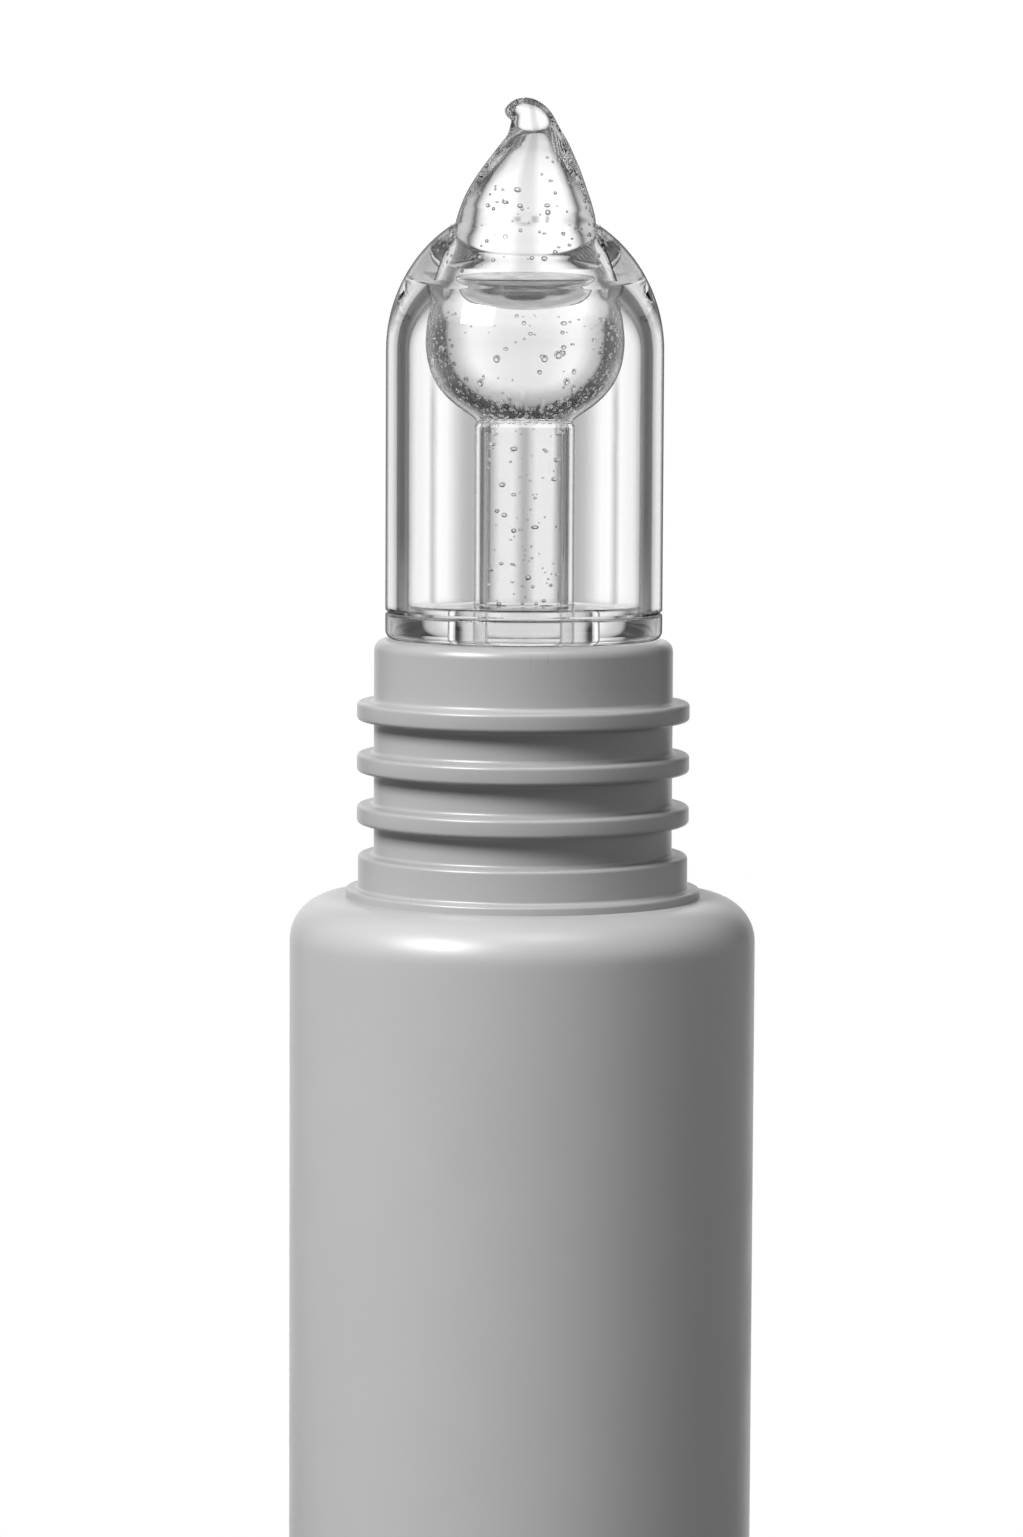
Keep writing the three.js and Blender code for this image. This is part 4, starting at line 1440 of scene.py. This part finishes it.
def wall_material(stage):
    """Plain grey, whatever light falls on it."""
    material, tree = new_material("grey wall")
    plain = add_node(tree, "ShaderNodeEmission", {"Color": grey_colour(stage.wall_level), "Strength": 1.0})
    add_node(tree, "ShaderNodeOutputMaterial", {"Surface": plain.outputs["Emission"]})
    return material


# The screen is painted light and shade for the clear tip: its greys stand in for the bright middles and dark
# edges that the tip shows, and its strips and glow change with how many clear surfaces they are seen
# through.
# Grey of the screen behind the tip, as (degrees, level) stops: by angle from straight behind, level with
# the tip or above it; the same below the tip; by angle below the tip, how far the second stands in for the
# first; and how the screen dims by angle below the tip.
SCREEN_LEVELS = ((0, 1.0), (19, 1.0), (26, 0.62), (31, 0.42), (33.5, 0.03), (43, 0.02), (47, 0.06),
                 (52, 0.2), (58, 0.42), (66, 0.58), (88, 0.7), (100, 0.7))
LOW_SIDE_LEVELS = ((0, 1.0), (24, 1.0), (29, 0.75), (33, 0.35), (36, 0.1), (39, 0.3), (43, 0.5),
                   (60, 0.58), (88, 0.7), (100, 0.7))
LOW_BAND = ((0, 0.0), (5, 0.0), (12, 1.0), (22, 1.0), (34, 0.0), (90, 0.0))
LOW_LEVELS = ((0, 1.0), (12, 1.0), (26, 0.94), (36, 0.78), (60, 0.66), (90, 0.6))

# Grey of the screen's soft upright strips, as (degrees to either side, level) stops: behind the dome's
# straight wall, behind the gel peak and low down, behind the bulb, and behind the gel in the feed tube.
STRIP_LEVELS = ((0, 0.76), (2, 0.76), (3.6, 0.48), (4.5, 0.48), (5.3, 0.55), (6.2, 0.72), (7, 0.88),
                (7.8, 1.0), (9.6, 1.0), (11.25, 0.5), (12.9, 1.0), (30, 1.0))
PEAK_STRIP_LEVELS = ((0, 0.74), (3, 0.76), (8, 1.0), (30, 1.0))
BULB_STRIP_LEVELS = ((0, 0.8), (7, 0.84), (15, 1.0), (30, 1.0))
COLUMN_STRIP_LEVELS = ((0, 0.5), (1.5, 0.52), (8, 1.0), (30, 1.0))

# How many clear surfaces the eye looks through, where an effect starts and where it is full: through the
# feed tube with its gel inside the dome, and through the gel peak alone
COLUMN_CROSSINGS = (5.0, 6.0)
PEAK_CROSSINGS = (3.0, 2.0)

# Left and right edge of the rim light on the screen, as sines of the angle to the right
RIM_LEFT = (0.02, 0.1)
RIM_RIGHT = (0.45, 0.6)


def level_by_angle(tree, turn, levels):
    """The level at an angle in radians, from (degrees, level) stops."""
    last = levels[-1][0]
    place = ranged(tree, turn, 0.0, math.radians(last), 0.0, 1.0)
    ramp = add_node(tree, "ShaderNodeValToRGB", {"Fac": place})
    stops = ramp.color_ramp.elements
    for degrees, level in levels[1:-1]:
        stops.new(degrees / last).color = grey_colour(level)
    stops[0].color = grey_colour(levels[0][1])
    stops[len(stops) - 1].color = grey_colour(levels[-1][1])
    return ramp.outputs["Color"]


def screen_rings(tree, way):
    """Level of the screen by its angle: white straight behind, dark in a ring round that, grey beyond."""
    above = math_node(tree, "MAXIMUM", way["Z"], 0.0)
    raised = add_node(tree, "ShaderNodeCombineXYZ", {"X": way["X"], "Y": way["Y"], "Z": above})
    ahead = components(tree, vector_math(tree, "NORMALIZE", raised.outputs["Vector"]))["Y"]
    turn = math_node(tree, "ARCCOSINE", ahead)
    below = math_node(tree, "ARCSINE", math_node(tree, "MULTIPLY", way["Z"], -1.0))
    ring = blended(tree, level_by_angle(tree, below, LOW_BAND), level_by_angle(tree, turn, SCREEN_LEVELS),
                   level_by_angle(tree, turn, LOW_SIDE_LEVELS))
    return math_node(tree, "MULTIPLY", ring, level_by_angle(tree, below, LOW_LEVELS))


def screen_strips(tree, stage, way, height, crossed):
    """Level of the screen's soft upright strips of painted shade, which change with what they are seen
    through.
    """
    aside = math_node(tree, "ABSOLUTE", math_node(tree, "ARCTAN2", way["X"], way["Y"]))
    level = level_by_angle(tree, aside, STRIP_LEVELS)
    for value, start, end, levels in (
        (crossed, *COLUMN_CROSSINGS, COLUMN_STRIP_LEVELS),
        (height, stage.strip_high - stage.strip_fade, stage.strip_high, BULB_STRIP_LEVELS),
        (height, stage.strip_low, stage.strip_low - stage.strip_fade, PEAK_STRIP_LEVELS),
        (crossed, *PEAK_CROSSINGS, PEAK_STRIP_LEVELS),
    ):
        part = ranged(tree, value, start, end, 0.0, 1.0)
        level = blended(tree, part, level, level_by_angle(tree, aside, levels))
    return level


def rim_light(tree, stage, way, height, crossed):
    """A white patch low on the screen's right, which is mirrored but not seen through the clear tip."""
    glossy = add_node(tree, "ShaderNodeLightPath").outputs["Is Glossy Ray"]
    mirrored = math_node(tree, "MULTIPLY", glossy, ranged(tree, crossed, 0.0, 1.0, 1.0, 0.0))
    low = ranged(tree, height, stage.strip_low, stage.rim_top, 0.0, 1.0)
    right = math_node(tree, "MULTIPLY", ranged(tree, way["X"], *RIM_LEFT, 0.0, 1.0),
                      ranged(tree, way["X"], *RIM_RIGHT, 1.0, 0.0))
    return math_node(tree, "MULTIPLY", math_node(tree, "MULTIPLY", mirrored, low), right)


def screen_material(stage):
    """Painted light and shade for the clear tip, as rings and strips of white and grey, and the rim light.
    """
    material, tree = new_material("screen")
    position = object_position(tree)
    from_tip = vector_math(tree, "SUBTRACT", position, (0.0, 0.0, stage.camera_level))
    way = components(tree, vector_math(tree, "NORMALIZE", from_tip))
    height = components(tree, position)["Z"]
    crossed = add_node(tree, "ShaderNodeLightPath").outputs["Transmission Depth"]
    strips = screen_strips(tree, stage, way, height, crossed)
    plain = math_node(tree, "MULTIPLY", screen_rings(tree, way), strips)
    level = math_node(tree, "MAXIMUM", plain, rim_light(tree, stage, way, height, crossed))
    # Painted glow: the screen shines brighter than white, and brighter still where it is seen through all of
    # the tip
    strength = ranged(tree, crossed, *COLUMN_CROSSINGS, stage.screen_glow, stage.deep_glow)
    glow = add_node(tree, "ShaderNodeEmission", {"Color": level, "Strength": strength})
    add_node(tree, "ShaderNodeOutputMaterial", {"Surface": glow.outputs["Emission"]})
    return material


def stage_object(name, bm, material):
    """Makes the object of a piece of the stage."""
    mesh = bpy.data.meshes.new(name)
    bm.to_mesh(mesh)
    bm.free()
    mesh.materials.append(material)
    made = bpy.data.objects.new(name, mesh)
    bpy.context.scene.collection.objects.link(made)
    return made


def hide_from_all_but_clear(made):
    """Leaves a stage piece to be seen only through clear pieces and in reflections."""
    made.visible_camera = False
    made.visible_diffuse = False
    made.visible_shadow = False


def make_floor(stage):
    """A pale floor that keeps the tube's shadow and throws no light back on it."""
    bm = bmesh.new()
    bmesh.ops.create_grid(bm, x_segments=1, y_segments=1, size=FLOOR_REACH)
    bmesh.ops.translate(bm, verts=list(bm.verts), vec=(0.0, 0.0, -FLOOR_DROP))
    floor = stage_object("floor", bm, floor_material(stage))
    floor.visible_diffuse = False
    floor.visible_glossy = False
    floor.visible_transmission = False


def make_screen(stage):
    """A bowl behind the tip whose painted greys give the clear pieces bright middles and dark edges."""
    bm = bmesh.new()
    bmesh.ops.create_grid(bm, x_segments=SCREEN_SIDES, y_segments=SCREEN_STEPS, size=0.5)
    for vert in bm.verts:
        roll = 2 * math.pi * (vert.co.x + 0.5)
        turn = stage.screen_end * (vert.co.y + 0.5)
        flat = stage.screen_distance * math.sin(turn)
        depth = stage.screen_distance * math.cos(turn)
        vert.co = (flat * math.cos(roll), depth, stage.camera_level + flat * math.sin(roll))
    bmesh.ops.remove_doubles(bm, verts=list(bm.verts), dist=MERGE_DISTANCE)
    hide_from_all_but_clear(stage_object("screen", bm, screen_material(stage)))


def make_wall(stage):
    """A grey wall in front of the tube, which its clear and satin pieces mirror."""
    bm = bmesh.new()
    bmesh.ops.create_grid(bm, x_segments=WALL_STEPS, y_segments=1, size=0.5)
    for vert in bm.verts:
        turn = lerp(stage.screen_end, 2 * math.pi - stage.screen_end, vert.co.x + 0.5)
        level = lerp(stage.wall_low, stage.wall_high, vert.co.y + 0.5)
        vert.co = (stage.wall_distance * math.sin(turn), stage.wall_distance * math.cos(turn), level)
    hide_from_all_but_clear(stage_object("grey_wall", bm, wall_material(stage)))


def make_camera(stage):
    """A camera in front of the tube, which looks down a little."""
    data = bpy.data.cameras.new("camera")
    data.lens = stage.lens
    data.clip_start = CLIP_START
    camera = bpy.data.objects.new("camera", data)
    bpy.context.scene.collection.objects.link(camera)
    place = Matrix.Translation((-stage.camera_aside, -stage.camera_distance, stage.camera_level))
    pitch = Matrix.Rotation(math.pi / 2 - stage.camera_pitch, 4, "X")
    camera.matrix_world = place @ pitch @ Matrix.Rotation(stage.camera_roll, 4, "Z")
    bpy.context.scene.camera = camera


def make_softbox(stage, name, power, azimuth, elevation, lit):
    """A softbox that lights only the named objects."""
    data = bpy.data.lights.new(name, "AREA")
    data.shape = "RECTANGLE"
    data.size = stage.softbox_width
    data.size_y = stage.softbox_height
    data.energy = power
    lamp = bpy.data.objects.new(name, data)
    bpy.context.scene.collection.objects.link(lamp)
    away = polar(stage.softbox_distance, azimuth, elevation)
    lamp.location = Vector((0.0, 0.0, RIM_LEVEL)) + away
    lamp.rotation_euler = (-away).to_track_quat("-Z", "Y").to_euler()
    lamp.visible_transmission = False
    receivers = bpy.data.collections.new(f"lit by {name}")
    for item in lit:
        receivers.objects.link(bpy.data.objects[item])
    lamp.light_linking.receiver_collection = receivers
    return lamp


def make_lamps(stage):
    """Key on the upper left, one overhead, fill on the right, one behind, and the tip's catch light."""
    make_softbox(stage, "key softbox", stage.key_power, stage.key_azimuth, stage.key_elevation,
                 SATIN_OBJECTS)
    make_softbox(stage, "overhead softbox", stage.top_power, stage.top_azimuth, stage.top_elevation,
                 SATIN_OBJECTS)
    fill = make_softbox(stage, "fill softbox", stage.fill_power, stage.fill_azimuth, stage.fill_elevation,
                        SATIN_OBJECTS)
    fill.visible_glossy = False
    back = make_softbox(stage, "back softbox", stage.back_power, stage.back_azimuth, stage.back_elevation,
                        SATIN_OBJECTS)
    back.visible_glossy = False
    back.visible_camera = False
    make_softbox(stage, "catch light", stage.catch_power, stage.catch_azimuth, stage.catch_elevation,
                 CLEAR_OBJECTS)


class TUBE_OT_make_stage(bpy.types.Operator):
    """Makes the camera, the white surroundings, the pale floor, the screen, the wall and the lamps"""

    bl_idname = "tube.make_stage"
    bl_label = "Make Stage"

    def execute(self, context):
        stage = context.scene.tube_stage
        scene = context.scene
        scene.view_settings.view_transform = "Standard"
        scene.cycles.max_bounces = CLEAR_BOUNCES
        scene.cycles.transmission_bounces = CLEAR_BOUNCES
        scene.cycles.glossy_bounces = MIRROR_BOUNCES
        make_camera(stage)
        make_world(stage)
        make_floor(stage)
        make_screen(stage)
        make_wall(stage)
        make_lamps(stage)
        return {"FINISHED"}


class TUBE_PT_panel(bpy.types.Panel):
    """Lists the tube's pieces in the sidebar"""

    bl_idname = "TUBE_PT_panel"
    bl_label = "Squeeze Tube"
    bl_space_type = "VIEW_3D"
    bl_region_type = "UI"
    bl_category = "Tube"

    def draw(self, context):
        for operator in OPERATORS:
            self.layout.operator(operator.bl_idname)


OPERATORS = (
    TUBE_OT_make_sleeve,
    TUBE_OT_make_neck,
    TUBE_OT_make_tip,
    TUBE_OT_make_gel,
    TUBE_OT_make_stage,
)


def register():
    for kind in (*SETTINGS.values(), *OPERATORS, TUBE_PT_panel):
        bpy.utils.register_class(kind)
    for name, kind in SETTINGS.items():
        setattr(bpy.types.Scene, name, PointerProperty(type=kind))


def unregister():
    for name in SETTINGS:
        delattr(bpy.types.Scene, name)
    for kind in reversed((*SETTINGS.values(), *OPERATORS, TUBE_PT_panel)):
        bpy.utils.unregister_class(kind)


def main():
    """Builds every piece and the stage."""
    register()
    bpy.ops.tube.make_sleeve()
    bpy.ops.tube.make_neck()
    bpy.ops.tube.make_tip()
    bpy.ops.tube.make_gel()
    bpy.ops.tube.make_stage()


if __name__ == "__main__":
    main()
